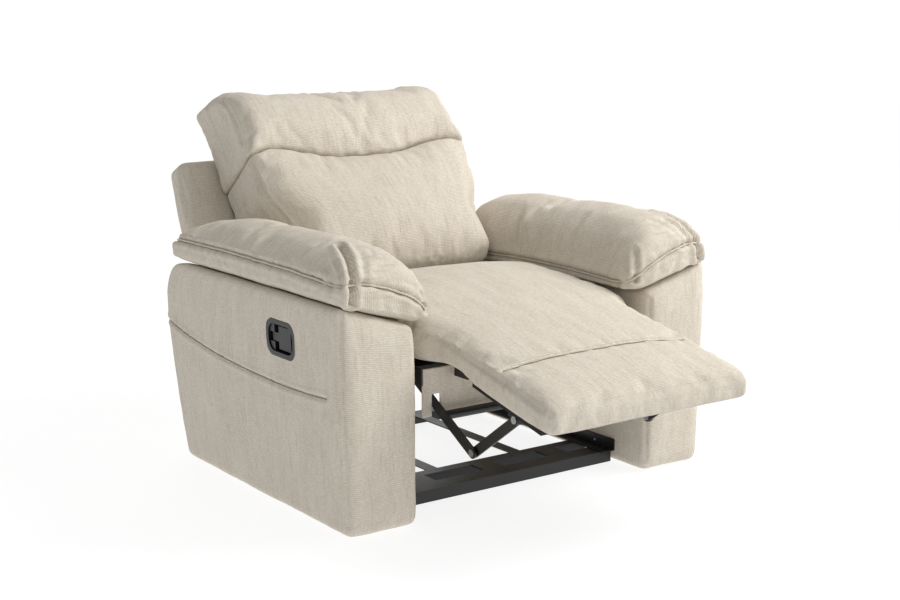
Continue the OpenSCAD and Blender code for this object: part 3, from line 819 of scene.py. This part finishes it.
@dataclass
class ArmPad(ArmPiece):
    """The pillow on one arm: crowned, rolled over the arm's front, with a gusset and a welt round it."""

    inner: float = 271 * MM
    outer: float = 511 * MM
    crown: float = 598 * MM
    least: float = 34 * MM  # thickness at its thinnest

    def base(self, x: Array) -> Array:
        """Height of the arm box's top under the pad, and of the pad's hem inside it."""
        arm_outer = self.arm_inner + self.arm_width
        return np.interp(x, [self.inner, self.arm_inner, arm_outer], [0.432, 0.431, 0.488])

    def aside(self, x: Array) -> Array:
        """How far the pad's top has fallen from its crown at a place across the arm."""
        return along(x, [(0.271, 0.128), (0.2815, 0.098), (0.3095, 0.056), (0.3525, 0.016), (0.4125, 0.0),
                         (0.4675, 0.014), (0.5005, 0.038), (0.5125, 0.058)])

    def weave_place(self, q: Array) -> Array:
        """Where the lattice's points lie in the flat cloth, measured over the crown.

        Args:
            q: the lattice's points on a cube from -1 to 1.

        Returns:
            The places, in metres.
        """
        x = np.linspace(self.inner, self.outer, 80)
        run = np.concatenate([[0.0], np.cumsum(np.hypot(np.diff(x), np.diff(self.aside(x))))])
        p = q * np.array(self.half)
        p[:, 0] = np.interp((q[:, 0] + 1) / 2, (x - x[0]) / (x[-1] - x[0]), run)
        return p

    def place(self, q: Array, p: Array) -> Array:
        """Shape the pad from its cross profile and its side profile.

        Args:
            q: the lattice's points on a cube from -1 to 1.
            p: the same points on the rounded box.

        Returns:
            The points in the chair's frame.
        """
        a, b, c = (p / np.array(self.half)).T
        x = self.inner + (a + 1) / 2 * (self.outer - self.inner)
        rear = along(x, [(0.271, 0.318), (0.3295, 0.378), (0.40, 0.415), (0.4525, 0.436), (0.5125, 0.440)])
        front = along(x, [(0.271, -0.298), (0.33, -0.314), (0.42, -0.320), (0.49, -0.316), (0.5125, -0.304)])
        y = front + (b + 1) / 2 * (rear - front)
        aside = self.aside(x)
        ahead = along(b, [(-1.0, 0.085), (-0.965, 0.058), (-0.89, 0.030), (-0.755, 0.009), (-0.5, 0.0),
                          (0.41, 0.006), (0.77, 0.024), (0.92, 0.044), (1.0, 0.064)])
        low = self.base(x) + 1 * MM
        high = np.maximum(self.crown - np.hypot(aside, ahead), low + self.least)
        z = low + (c + 1) / 2 * (high - low)
        return np.c_[self.side.value * x, y, z]

    def hold(self, q: Array) -> Array:
        """Held along its bottom, and lightly at its ends and sides, where it is sewn."""
        sewn = np.maximum(np.abs(q[:, 0]), np.abs(q[:, 1])) > 0.985
        return np.where(q[:, 2] < -0.99, 1.0, np.where(sewn, 0.3, 0.03))

    def finish(self) -> bpy.types.Object:
        """Sew the welt round the gusset, then gather the cloth over the front corners.

        Returns:
            The welt.
        """
        line = self.across([
            (0.300, 0.335, 0.515), (0.36, 0.400, 0.522), (0.44, 0.438, 0.532), (0.500, 0.432, 0.537),
            (0.514, 0.35, 0.541), (0.516, 0.20, 0.543), (0.516, 0.0, 0.542), (0.516, -0.14, 0.540),
            (0.514, -0.25, 0.535), (0.498, -0.312, 0.531), (0.45, -0.328, 0.532), (0.39, -0.329, 0.521),
            (0.33, -0.324, 0.492), (0.288, -0.310, 0.462), (0.270, -0.26, 0.451), (0.265, -0.10, 0.457),
            (0.265, 0.08, 0.458), (0.267, 0.24, 0.452), (0.272, 0.30, 0.462)])
        welt = self.pipe(f"{self.name}_welt", line, 6 * MM, 6 * MM, 2.3 * MM)
        corner = self.across([(0.440, -0.215, 0.600), (0.452, -0.262, 0.585), (0.463, -0.296, 0.556),
                              (0.470, -0.308, 0.528), (0.476, -0.310, 0.492)])
        self.sew(corner, depth=13 * MM, width=6.5 * MM, lip=6 * MM, thread=False)
        fold = self.across([(0.452, -0.270, 0.578), (0.463, -0.300, 0.550), (0.472, -0.312, 0.530)])
        for shift, depth in ((0.024, 4), (-0.024, 3.5), (-0.048, 2.5), (0.040, 2)):
            fan = [(x + shift * (1.0 if z < 0.56 else 1.5), y + abs(shift) * 0.35, z) for x, y, z in fold]
            self.sew(fan, depth=depth * MM, width=6 * MM, lip=1.5 * MM, thread=False)
        pleat = self.across([(0.305, -0.285, 0.520), (0.296, -0.300, 0.492), (0.290, -0.302, 0.458)])
        self.sew(pleat, depth=6 * MM, width=6 * MM, lip=2.5 * MM, thread=False)
        return welt


@dataclass
class SeatPad(Pad):
    """Seat and leg rest in one run of cloth."""

    toe: float = -0.691
    rear: float = 0.192
    leg_half: float = 0.268
    seat_half: float = 0.296
    widens: tuple[float, float] = (-0.325, -0.25)  # where the leg's width grows to the seat's
    seam: float = -0.512  # the seam across the leg rest

    def upper(self, y: Array) -> Array:
        """Height of the pad's top near its long edges."""
        return along(y, [(-0.691, 0.318), (-0.665, 0.326), (-0.595, 0.345), (-0.50, 0.366), (-0.41, 0.386),
                         (-0.345, 0.401), (-0.275, 0.415), (-0.20, 0.427), (-0.10, 0.436), (0.05, 0.441),
                         (0.13, 0.434), (0.192, 0.412)])

    def lower(self, y: Array) -> Array:
        """Height of the pad's underside, which wraps the footrest board and lies on the seat springs."""
        return along(y, [(-0.691, 0.266), (-0.665, 0.266), (-0.60, 0.2755), (-0.50, 0.2985), (-0.435, 0.3135),
                         (-0.39, 0.334), (-0.35, 0.341), (-0.28, 0.341), (0.05, 0.337), (0.192, 0.345)])

    def place(self, q: Array, p: Array) -> Array:
        """Shape the pad: narrower on the leg, crowned, with a round toe.

        Args:
            q: the lattice's points on a cube from -1 to 1.
            p: the same points on the rounded box.

        Returns:
            The points in the chair's frame.
        """
        a, b, c = (p / np.array(self.half)).T
        y = self.toe + (b + 1) / 2 * (self.rear - self.toe)
        half = self.leg_half + (self.seat_half - self.leg_half) * smooth_step(y, *self.widens)
        low, high = self.lower(y), self.upper(y)
        z = low + (c + 1) / 2 * (high - low)
        crown = along(y, [(-0.69, 0.004), (-0.60, 0.010), (-0.40, 0.012), (-0.25, 0.018), (0.0, 0.026),
                          (0.19, 0.016)])
        bulge = np.cos(q[:, 0] * math.pi / 2) ** 0.8 * (1 - np.abs(q[:, 1]) ** 6)
        z += crown * bulge * smooth_step(c, 0.3, 1.0)
        return np.c_[a * half, y, z]

    def hold(self, q: Array) -> Array:
        """Held underneath and, lightly, round the sides where the top is sewn to them.

        Args:
            q: the lattice's points on a cube from -1 to 1.

        Returns:
            How firmly each is held.
        """
        y = self.toe + (q[:, 1] + 1) / 2 * (self.rear - self.toe)
        seam = np.exp(-(((y - self.seam) / (12 * MM)) ** 2)) * (q[:, 2] > 0.9) * 0.5
        edges = np.where(np.abs(q[:, 0]) > 0.985, 0.45, 0.06)
        return np.where(q[:, 2] < -0.99, 1.0, np.maximum(edges, seam))

    def sew_seams(self) -> None:
        """Sew the seam across the leg rest and the seams where the top meets the sides."""
        across = [(x, self.seam - 0.006 * (x / 0.27) ** 2, 0.385) for x in np.linspace(-0.262, 0.262, 9)]
        self.sew(across, depth=5 * MM, width=5 * MM, lip=2.5 * MM)
        for sign in (1, -1):
            hem = [(sign * 0.275, y, float(self.upper(np.array([y]))[0]) - 0.006)
                   for y in (-0.66, -0.58, -0.50, -0.42, -0.36)]
            self.sew(hem, depth=2.2 * MM, width=4.5 * MM, lip=1.2 * MM, thread=False)


@dataclass
class BackPad(Pad):
    """A back cushion, shaped in the back's own leaning frame: x, t to the rear, s up the back."""

    pivot: tuple[float, float] = (0.280, 0.360)  # y and z of the hinge, where t and s are 0
    lean: float = 39.0  # degrees
    front: float = -0.150
    behind: float = 0.044
    seam: float = 0.351  # how far up the back the two cushions meet
    joined: int = 0  # which end is sewn to the other cushion: 1 the upper, -1 the lower, 0 neither
    tight: Point = (18 * MM, 20 * MM, 18 * MM)  # rounding behind
    sewn: Point = (14 * MM, 40 * MM, 16 * MM)  # rounding where the cushions are sewn together
    flush: float = 5 * MM  # rounding there at the sides, so that the cushions' sides run on

    def rounding(self, q: Array) -> Array:
        """Round in front, and tight behind and where the two cushions are sewn together.

        Args:
            q: the lattice's points on a cube from -1 to 1.

        Returns:
            The rounding at each point along each axis.
        """
        full, tight, sewn = (np.tile(r, (len(q), 1)) for r in (self.radius, self.tight, self.sewn))
        sewn[:, 2] += (self.flush - sewn[:, 2]) * smooth_step(np.abs(q[:, 0]), 0.8, 1.0)
        free = tight + (full - tight) * smooth_step(-q[:, 1], -0.9, 0.5)[:, None]
        return free + (np.minimum(sewn, free) - free) * smooth_step(self.joined * q[:, 2], 0.5, 1.0)[:, None]

    def to_chair(self, x: Array, t: Array, s: Array) -> Array:
        """Turn places in the leaning frame to the chair's frame."""
        c, k = math.cos(math.radians(self.lean)), math.sin(math.radians(self.lean))
        return np.c_[x, self.pivot[0] + k * s + c * t, self.pivot[1] + c * s - k * t]

    def seam_line(self, x: Array) -> Array:
        """How far up the back the cushions' seam lies: low in the middle, rising to the sides."""
        w = np.abs(x)
        return self.seam - 0.014 + 0.030 * smooth_step(w, 0.06, 0.235) - 0.012 * smooth_step(w, 0.255, 0.31)

    def hold(self, q: Array) -> Array:
        """Held behind, and lightly at the edges that are sewn."""
        edge = np.maximum(np.abs(q[:, 0]), np.abs(q[:, 2])) > 0.985
        return np.where(q[:, 1] > 0.99, 1.0, np.where(edge, 0.35, 0.03))

    def run(self, points: list[Point]) -> list[Point]:
        """Points (x, t, s) in the leaning frame as points in the chair's frame."""
        x, t, s = np.array(points).T
        return [tuple(p) for p in self.to_chair(x, t, s)]


@dataclass
class LumbarPad(BackPad):
    """The lower back cushion: full across the lumbar, and narrower where it passes between the arm pads."""

    low: float = 0.014
    joined: int = 1
    waist: float = 0.268  # half its width between the arm pads
    flare: float = 0.044  # how much wider each side is above them
    widens: tuple[float, float] = (0.12, 0.26)  # where it widens, up the back

    def place(self, q: Array, p: Array) -> Array:
        """Shape the cushion.

        Args:
            q: the lattice's points on a cube from -1 to 1.
            p: the same points on the rounded box.

        Returns:
            The points in the chair's frame.
        """
        a, b, c = (p / np.array(self.half)).T
        guess = self.low + (c + 1) / 2 * (self.seam - self.low)
        half = self.waist + self.flare * smooth_step(guess, *self.widens)
        x = a * half
        s = self.low + (c + 1) / 2 * (self.seam_line(x) - self.low)
        lumbar = 0.030 * np.exp(-(((s - 0.15) / 0.11) ** 2))
        front = self.front - lumbar * np.cos(q[:, 0] * math.pi / 2) ** 0.7
        t = self.behind + (b - 1) / 2 * (self.behind - front)
        return self.to_chair(x, t, s)

    def sew_seams(self) -> None:
        """Sew the gusset's two long seams on each side."""
        for sign in (1, -1):
            for t, depth in ((-0.128, 3.0), (-0.035, 2.2)):
                ups = np.array([0.05, 0.12, 0.20, 0.27, 0.335])
                out = self.waist + 3 * MM + (self.flare + 2 * MM) * smooth_step(ups, *self.widens)
                line = [(sign * x, t, s) for x, s in zip(out, ups)]
                self.sew(self.run(line), depth=depth * MM, width=4.5 * MM, lip=1.5 * MM, thread=False)


@dataclass
class HeadPad(BackPad):
    """The head cushion: it overhangs the seam and stands above the shell, with an ear at each top corner."""

    top: float = 0.601
    joined: int = -1
    edge: float = 0.322  # just outside its sides, where their seams are

    def place(self, q: Array, p: Array) -> Array:
        """Shape the cushion.

        Args:
            q: the lattice's points on a cube from -1 to 1.
            p: the same points on the rounded box.

        Returns:
            The points in the chair's frame.
        """
        a, b, c = (p / np.array(self.half)).T
        x = a * self.half[0]
        low = self.seam_line(x) + 1 * MM
        t = self.behind + (b - 1) / 2 * (self.behind - self.front)
        lean = 0.030 * (t - self.behind) / (self.behind - self.front)
        ear = 0.010 * np.exp(-(((np.abs(x) - 0.262) / 0.035) ** 2))
        top = self.top + lean + ear - 0.004
        s = low + (c + 1) / 2 * (top - low)
        roll = 0.052 * smooth_step((s - low) / (top - low), 0.55, 1.0) ** 1.6 * smooth_step(-b, -0.2, 1.0)
        nose = 0.008 * np.exp(-(((s - 0.42) / 0.05) ** 2)) * smooth_step(-b, 0.0, 1.0)
        pull = 0.006 * (1 - ((s - 0.49) / 0.1) ** 2).clip(0, 1)
        return self.to_chair(x * (1 - pull / self.half[0]), t + roll - nose, s)

    def sew_seams(self) -> None:
        """Sew the gusset's seams up each side and over the top."""
        for sign in (1, -1):
            side = [(sign * self.edge, t, s) for t, s in ((-0.128, 0.40), (-0.126, 0.48), (-0.108, 0.552))]
            self.sew(self.run(side), depth=3 * MM, width=4.5 * MM, lip=1.5 * MM, thread=False)
            rear = [(sign * (self.edge - inset), t, s)
                    for inset, t, s in ((0, -0.035, 0.39), (0, -0.033, 0.50), (6 * MM, -0.028, 0.577))]
            self.sew(self.run(rear), depth=2.2 * MM, width=4.5 * MM, lip=1.2 * MM, thread=False)
        over = [(x, -0.032, 0.620) for x in np.linspace(-0.29, 0.29, 9)]
        self.sew(self.run(over), depth=2.2 * MM, width=4.5 * MM, lip=1.2 * MM)


@dataclass
class BackCover(BackPad):
    """The outer shell's cover: a padded panel behind the cushions, with wings beside them."""

    low: float = -0.148
    high: float = 0.475
    near: float = 0.047
    far: float = 0.112
    pocket: float = 0.286  # half the pocket's width
    pocket_deep: float = 0.054

    def place(self, q: Array, p: Array) -> Array:
        """Shape the cover, with a pocket in its front for the wooden back frame.

        Args:
            q: the lattice's points on a cube from -1 to 1.
            p: the same points on the rounded box.

        Returns:
            The points in the chair's frame.
        """
        a, b, c = (p / np.array(self.half)).T
        s = self.low + (c + 1) / 2 * (self.high - self.low)
        half = along(s, [(-0.15, 0.298), (0.20, 0.300), (0.252, 0.304), (0.268, 0.420), (0.29, 0.431),
                         (0.36, 0.421), (0.475, 0.402)])
        t = self.near + (b + 1) / 2 * (self.far - self.near)
        x = a * half
        t += 6 * MM * (1 - q[:, 0] ** 4) * (1 - q[:, 2] ** 4) * smooth_step(b, 0.5, 1.0)
        inside = (np.abs(x) < self.pocket) & (s > self.low + 0.02) & (s < self.high - 0.024)
        inside &= q[:, 1] < -0.99
        return self.to_chair(x, np.where(inside, self.near + self.pocket_deep, t), s)

    def sew_seams(self) -> None:
        """Sew the seams down the back panel and along the wings' front edge."""
        for sign in (1, -1):
            down = [(sign * 0.262, 0.118, s) for s in (-0.12, 0.02, 0.16, 0.30, 0.44)]
            self.sew(self.run(down), depth=3.5 * MM, width=5 * MM, lip=2 * MM)
            wing = [(sign * 0.418, 0.058, 0.30), (sign * 0.410, 0.058, 0.37), (sign * 0.396, 0.058, 0.44)]
            self.sew(self.run(wing), depth=2 * MM, width=4 * MM, lip=1 * MM, thread=False)
        low = [(x, 0.118, 0.215) for x in np.linspace(-0.28, 0.28, 7)]
        self.sew(self.run(low), depth=3 * MM, width=5 * MM, lip=1.5 * MM)


@dataclass
class FrontApron:
    """The cloth panel that hangs from the seat's front rail, hemmed and slightly slack."""

    node: str = "front_apron"
    thickness: float = 2.4 * MM
    notch_half: float = 10 * MM  # half the width of a slot for a link
    notch_at: float = 245 * MM  # the slots' place either side of the middle
    notch_high: float = 50 * MM

    def build(self) -> bpy.types.Object:
        """Make the panel as a grid of cloth with slots where the links pass.

        Returns:
            The panel.
        """
        low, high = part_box(self.node)
        width, height = high.x - low.x, high.z - low.z
        bm = bmesh.new()
        bmesh.ops.create_grid(bm, x_segments=112, y_segments=26, size=0.5)
        middle = (low + high) / 2
        # The slack is two runs of waves across the cloth, deepest at its free hem
        for v in bm.verts:
            x, up = v.co.x * width, v.co.y + 0.5
            slack = 1.0 * MM * math.sin(x * 42) * (1 - up) + 0.5 * MM * math.sin(x * 95 + 1.0) * (1 - up)
            v.co = Vector((middle.x + x, middle.y + slack, low.z + up * height))
        gone = [f for f in bm.faces if abs(abs(f.calc_center_median().x) - self.notch_at) < self.notch_half
                and f.calc_center_median().z < low.z + self.notch_high]
        bmesh.ops.delete(bm, geom=gone, context="FACES")
        layer = bm.loops.layers.uv.new(WEAVE)
        for face in bm.faces:
            for loop in face.loops:
                loop[layer].uv = (loop.vert.co.x, loop.vert.co.z)
        made = object_from("front_apron_cloth", bm)
        thick = made.modifiers.new("Solidify", "SOLIDIFY")
        thick.thickness = self.thickness
        thick.offset = 0
        freeze(made)
        return made


@dataclass
class Upholstery:
    """All the padded and clothed pieces."""

    cloth: bpy.types.Material
    # The dark material of the seam lines, which paints the shade of the seams' folds
    thread: bpy.types.Material
    slot: str = "chenille"

    def dress_piece(self, obj: bpy.types.Object, body: str, *nodes: str) -> None:
        """Clothe a piece, let it ride on a body and let it stand for its CAD nodes.

        Args:
            obj: the piece.
            body: the body's name.
            nodes: the CAD nodes that it replaces.
        """
        dress(obj, self.cloth)
        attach(obj, body)
        if nodes:
            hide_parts(*nodes)
        log.info("%s rides on %s", obj.name, body)

    def show_thread(self, pad: Pad, body: str) -> None:
        """Lay the dark lines of painted shade in a pad's seams.

        Args:
            pad: the pad, with a seam on it that has a line of painted shade.
            body: the pad's body.
        """
        seams = pad.stitching()
        dress(seams, self.thread)
        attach(seams, body)
        log.info("%s rides on %s", seams.name, body)

    def bend_at_knee(self, obj: bpy.types.Object) -> None:
        """Bake a piece's placement into its mesh."""
        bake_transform(obj)
        log.info("%s bends from carriage to footrest", obj.name)

    def build_pads(self) -> dict[str, Pad]:
        """Make every pad's lattice.

        Returns:
            The pads by name.
        """
        pads: list[Pad] = [
            SeatPad("seat_and_leg_pad", (0.296, 0.4415, 0.05), (0.030, 0.030, 0.034), (56, 88, 10), 0.75,
                    cap=10 * MM, pressure=3.0),
            LumbarPad("lumbar_pillow", (0.308, 0.10, 0.186), (0.050, 0.055, 0.050), (58, 22, 38), 0.8,
                      cap=14 * MM),
            HeadPad("head_pillow", (0.317, 0.10, 0.12), (0.046, 0.050, 0.042), (58, 22, 28), 0.8,
                    cap=12 * MM),
            BackCover("back_cover", (0.43, 0.033, 0.312), (0.034, 0.022, 0.034), (84, 8, 62), 0.9,
                      soft=False)]
        for side in Side:
            pads.append(ArmPad(f"arm_pillow_{side.word}", (0.117, 0.373, 0.06), (0.030, 0.030, 0.030),
                               (26, 76, 14), 0.7, cap=12 * MM, grain=Grain.LENGTHWISE, side=side))
            pads.append(ArmBox(f"arm_box_{side.word}", (0.095, 0.40, 0.2415), (0.026, 0.026, 0.016),
                               (20, 84, 50), 0.95, soft=False, side=side))
        for pad in pads:
            pad.build()
        return {pad.name: pad for pad in pads}

    def cut_bezel_hole(self, box: Pad) -> None:
        """Open the right arm's cloth behind the lever's bezel.

        Args:
            box: the arm's pad.
        """
        low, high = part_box("lever_bezel")
        room, deep, proud, corner = 0.5 * MM, 4 * MM, 40 * MM, 28 * MM
        bm = bmesh.new()
        bmesh.ops.create_cube(bm, size=1)
        size = high - low
        span = Vector((size.x + proud, size.y + 2 * room, size.z + 2 * room))
        bmesh.ops.scale(bm, vec=span, verts=bm.verts)
        bmesh.ops.translate(bm, vec=(low + high) / 2 + Vector((deep - proud / 2, 0, 0)), verts=bm.verts)
        edges = [e for e in bm.edges if abs((e.verts[0].co - e.verts[1].co).x) > 1 * MM]
        bmesh.ops.bevel(bm, geom=edges, offset=corner, segments=10, profile=0.5, affect="EDGES", material=-1)
        bmesh.ops.recalc_face_normals(bm, faces=bm.faces)
        cutter = object_from("bezel_cutter", bm)
        cut = box.obj.modifiers.new("Boolean", "BOOLEAN")
        cut.operation = "DIFFERENCE"
        cut.solver = "EXACT"
        cut.object = cutter
        freeze(box.obj)
        bpy.data.objects.remove(cutter)

    def build(self) -> None:
        """Make, blow up, sew and place every soft piece."""
        pads = self.build_pads()
        inflate([pad for pad in pads.values() if pad.soft])
        for pad in pads.values():
            pad.refine()
            log.info("%s: %d faces", pad.name, len(pad.obj.data.polygons))
        for name in ("seat_and_leg_pad", "lumbar_pillow", "head_pillow", "back_cover"):
            pads[name].sew_seams()
        for side in Side:
            box, pillow = pads[f"arm_box_{side.word}"], pads[f"arm_pillow_{side.word}"]
            box.sew_seams()
            welt = pillow.finish()
            if side is Side.RIGHT:
                self.cut_bezel_hole(box)
            self.dress_piece(box.obj, "base", f"arm_cover_{side.word}")
            self.dress_piece(pillow.obj, "base", f"arm_pad_{side.word}")
            self.dress_piece(welt, "base")
            self.show_thread(box, "base")
            self.show_thread(pillow, "base")
        self.dress_piece(pads["lumbar_pillow"].obj, "back", "lumbar_cushion")
        self.dress_piece(pads["head_pillow"].obj, "back", "head_cushion")
        self.dress_piece(pads["back_cover"].obj, "back", "back_shell")
        seat = pads["seat_and_leg_pad"].obj
        dress(seat, self.cloth)
        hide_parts("seat_cushion", "leg_cushion")
        self.bend_at_knee(seat)
        for name in ("head_pillow", "back_cover"):
            self.show_thread(pads[name], "back")
        # The seat's dark seam lines paint the shade of its seams
        seams = pads["seat_and_leg_pad"].stitching()
        dress(seams, self.thread)
        self.bend_at_knee(seams)
        apron = FrontApron()
        panel = apron.build()
        self.dress_piece(panel, "carriage", apron.node)


@dataclass
class Metalwork:
    """The frame, the mechanism and the lever: CAD nodes in their real finishes."""

    finishes: dict[str, Speckled] = field(default_factory=lambda: {
        "black_steel": POWDER_COAT, "zinc_steel": ZINC_PLATE, "spring_steel": SPRING_STEEL,
        "black_plastic": MOULDED_ABS, "nylon": NYLON, "plywood": PLYWOOD, "dust_cloth": DUST_CLOTH,
        "cable_jacket": CABLE_JACKET})

    def dress_nodes(self) -> None:
        """Give each CAD node the finish of its record slot."""
        made = {slot: finish.make() for slot, finish in self.finishes.items()}
        for part in frame["record"]["subparts"]:
            if part["material_slot"] in made:
                dress(frame["nodes"][part["node"]], made[part["material_slot"]])
        dress(frame["nodes"]["footrest_board"], made["dust_cloth"])
        log.info("%d CAD nodes dressed", len(frame["nodes"]))


@dataclass(frozen=True)
class Softbox:
    """A square soft light that looks at the seat."""

    name: str
    place: Point
    size: float
    watts: float
    colour: Point = (1.0, 0.993, 0.98)  # barely warm
    target: Point = (0, -0.1, 0.4)

    def hang(self) -> None:
        """Add the light to the scene."""
        light = bpy.data.lights.new(self.name, "AREA")
        light.size = self.size
        light.energy = self.watts
        light.color = self.colour
        made = bpy.data.objects.new(self.name, light)
        bpy.context.scene.collection.objects.link(made)
        made.location = self.place
        aim = Vector(self.target) - Vector(self.place)
        made.rotation_euler = aim.to_track_quat("-Z", "Y").to_euler()


@dataclass
class Studio:
    """A plain pale floor and backdrop, soft light from the front and right, and the camera."""

    eye: Point = (-2.031, -2.831, 1.0739)
    tilt: float = 79.01
    turn: float = -35.51
    lens: float = 60.87
    reach: float = 60.0  # half the width of the floor and of the backdrop
    floor_glow: float = 0.86
    backdrop_glow: float = 1.0
    sky: float = 0.42
    lights: tuple[Softbox, ...] = (
        Softbox("key", (2.1, -1.3, 2.7), 1.8, 92), Softbox("front", (0.9, -3.4, 1.8), 2.4, 22))

    def screen(self, name: str, glow: float, place: Matrix) -> None:
        """Make one big flat pale screen, as the floor and the backdrop are.

        Args:
            name: the screen's name.
            glow: how brightly it shines, so that it stays white.
            place: where it stands, as a turn and a shift of a level square at the origin.
        """
        bm = bmesh.new()
        bmesh.ops.create_grid(bm, x_segments=4, y_segments=4, size=self.reach, matrix=place)
        made = object_from(name, bm)
        material, tree = new_material("studio_" + name)
        spot = add(tree, "TexCoord").outputs["Object"]
        cloud = add(tree, "TexNoise", {"Vector": spot, "Scale": 3.0, "Detail": 2.0})
        rough = add(tree, "MapRange", {"Value": cloud.outputs[0], 3: 0.65, 4: 0.75})
        close_material(tree, add(tree, "BsdfPrincipled", {
            "Base Color": linear("7A7A7A"), "Roughness": rough.outputs[0], "Specular IOR Level": 0.1,
            "Emission Color": (1.0, 1.0, 1.0, 1.0), "Emission Strength": glow}))
        dress(made, material)

    def build(self) -> None:
        """Make the floor, the backdrop, the lights and the camera."""
        scene = bpy.context.scene
        self.screen("floor", self.floor_glow, Matrix.Identity(4))
        upright = Matrix.Rotation(math.radians(90), 4, "X") @ Matrix.Translation((0, 0, -0.9 * self.reach))
        turned = Matrix.Rotation(math.radians(self.turn), 4, "Z")
        self.screen("backdrop", self.backdrop_glow, turned @ upright)
        world = bpy.data.worlds.new("studio")
        scene.world = world
        world.use_nodes = True
        background = world.node_tree.nodes["Background"]
        background.inputs["Color"].default_value = (1.0, 1.0, 1.0, 1.0)
        background.inputs["Strength"].default_value = self.sky
        for light in self.lights:
            light.hang()
        scene.view_settings.view_transform = "Standard"
        scene.view_settings.look = "None"
        camera = bpy.data.cameras.new("camera")
        camera.lens = self.lens
        camera.sensor_width = 36
        eye = bpy.data.objects.new("camera", camera)
        scene.collection.objects.link(eye)
        eye.location = self.eye
        eye.rotation_euler = (math.radians(self.tilt), 0, math.radians(self.turn))
        scene.camera = eye


def main() -> None:
    """Build the chair's looks around its frame."""
    logging.basicConfig(level=logging.INFO, format="%(name)s: %(message)s")
    Studio().build()
    Metalwork().dress_nodes()
    Upholstery(Chenille().make(), SEAM_SHADE_THREAD.make()).build()
    bpy.context.view_layer.update()


if __name__ == "__main__":
    main()
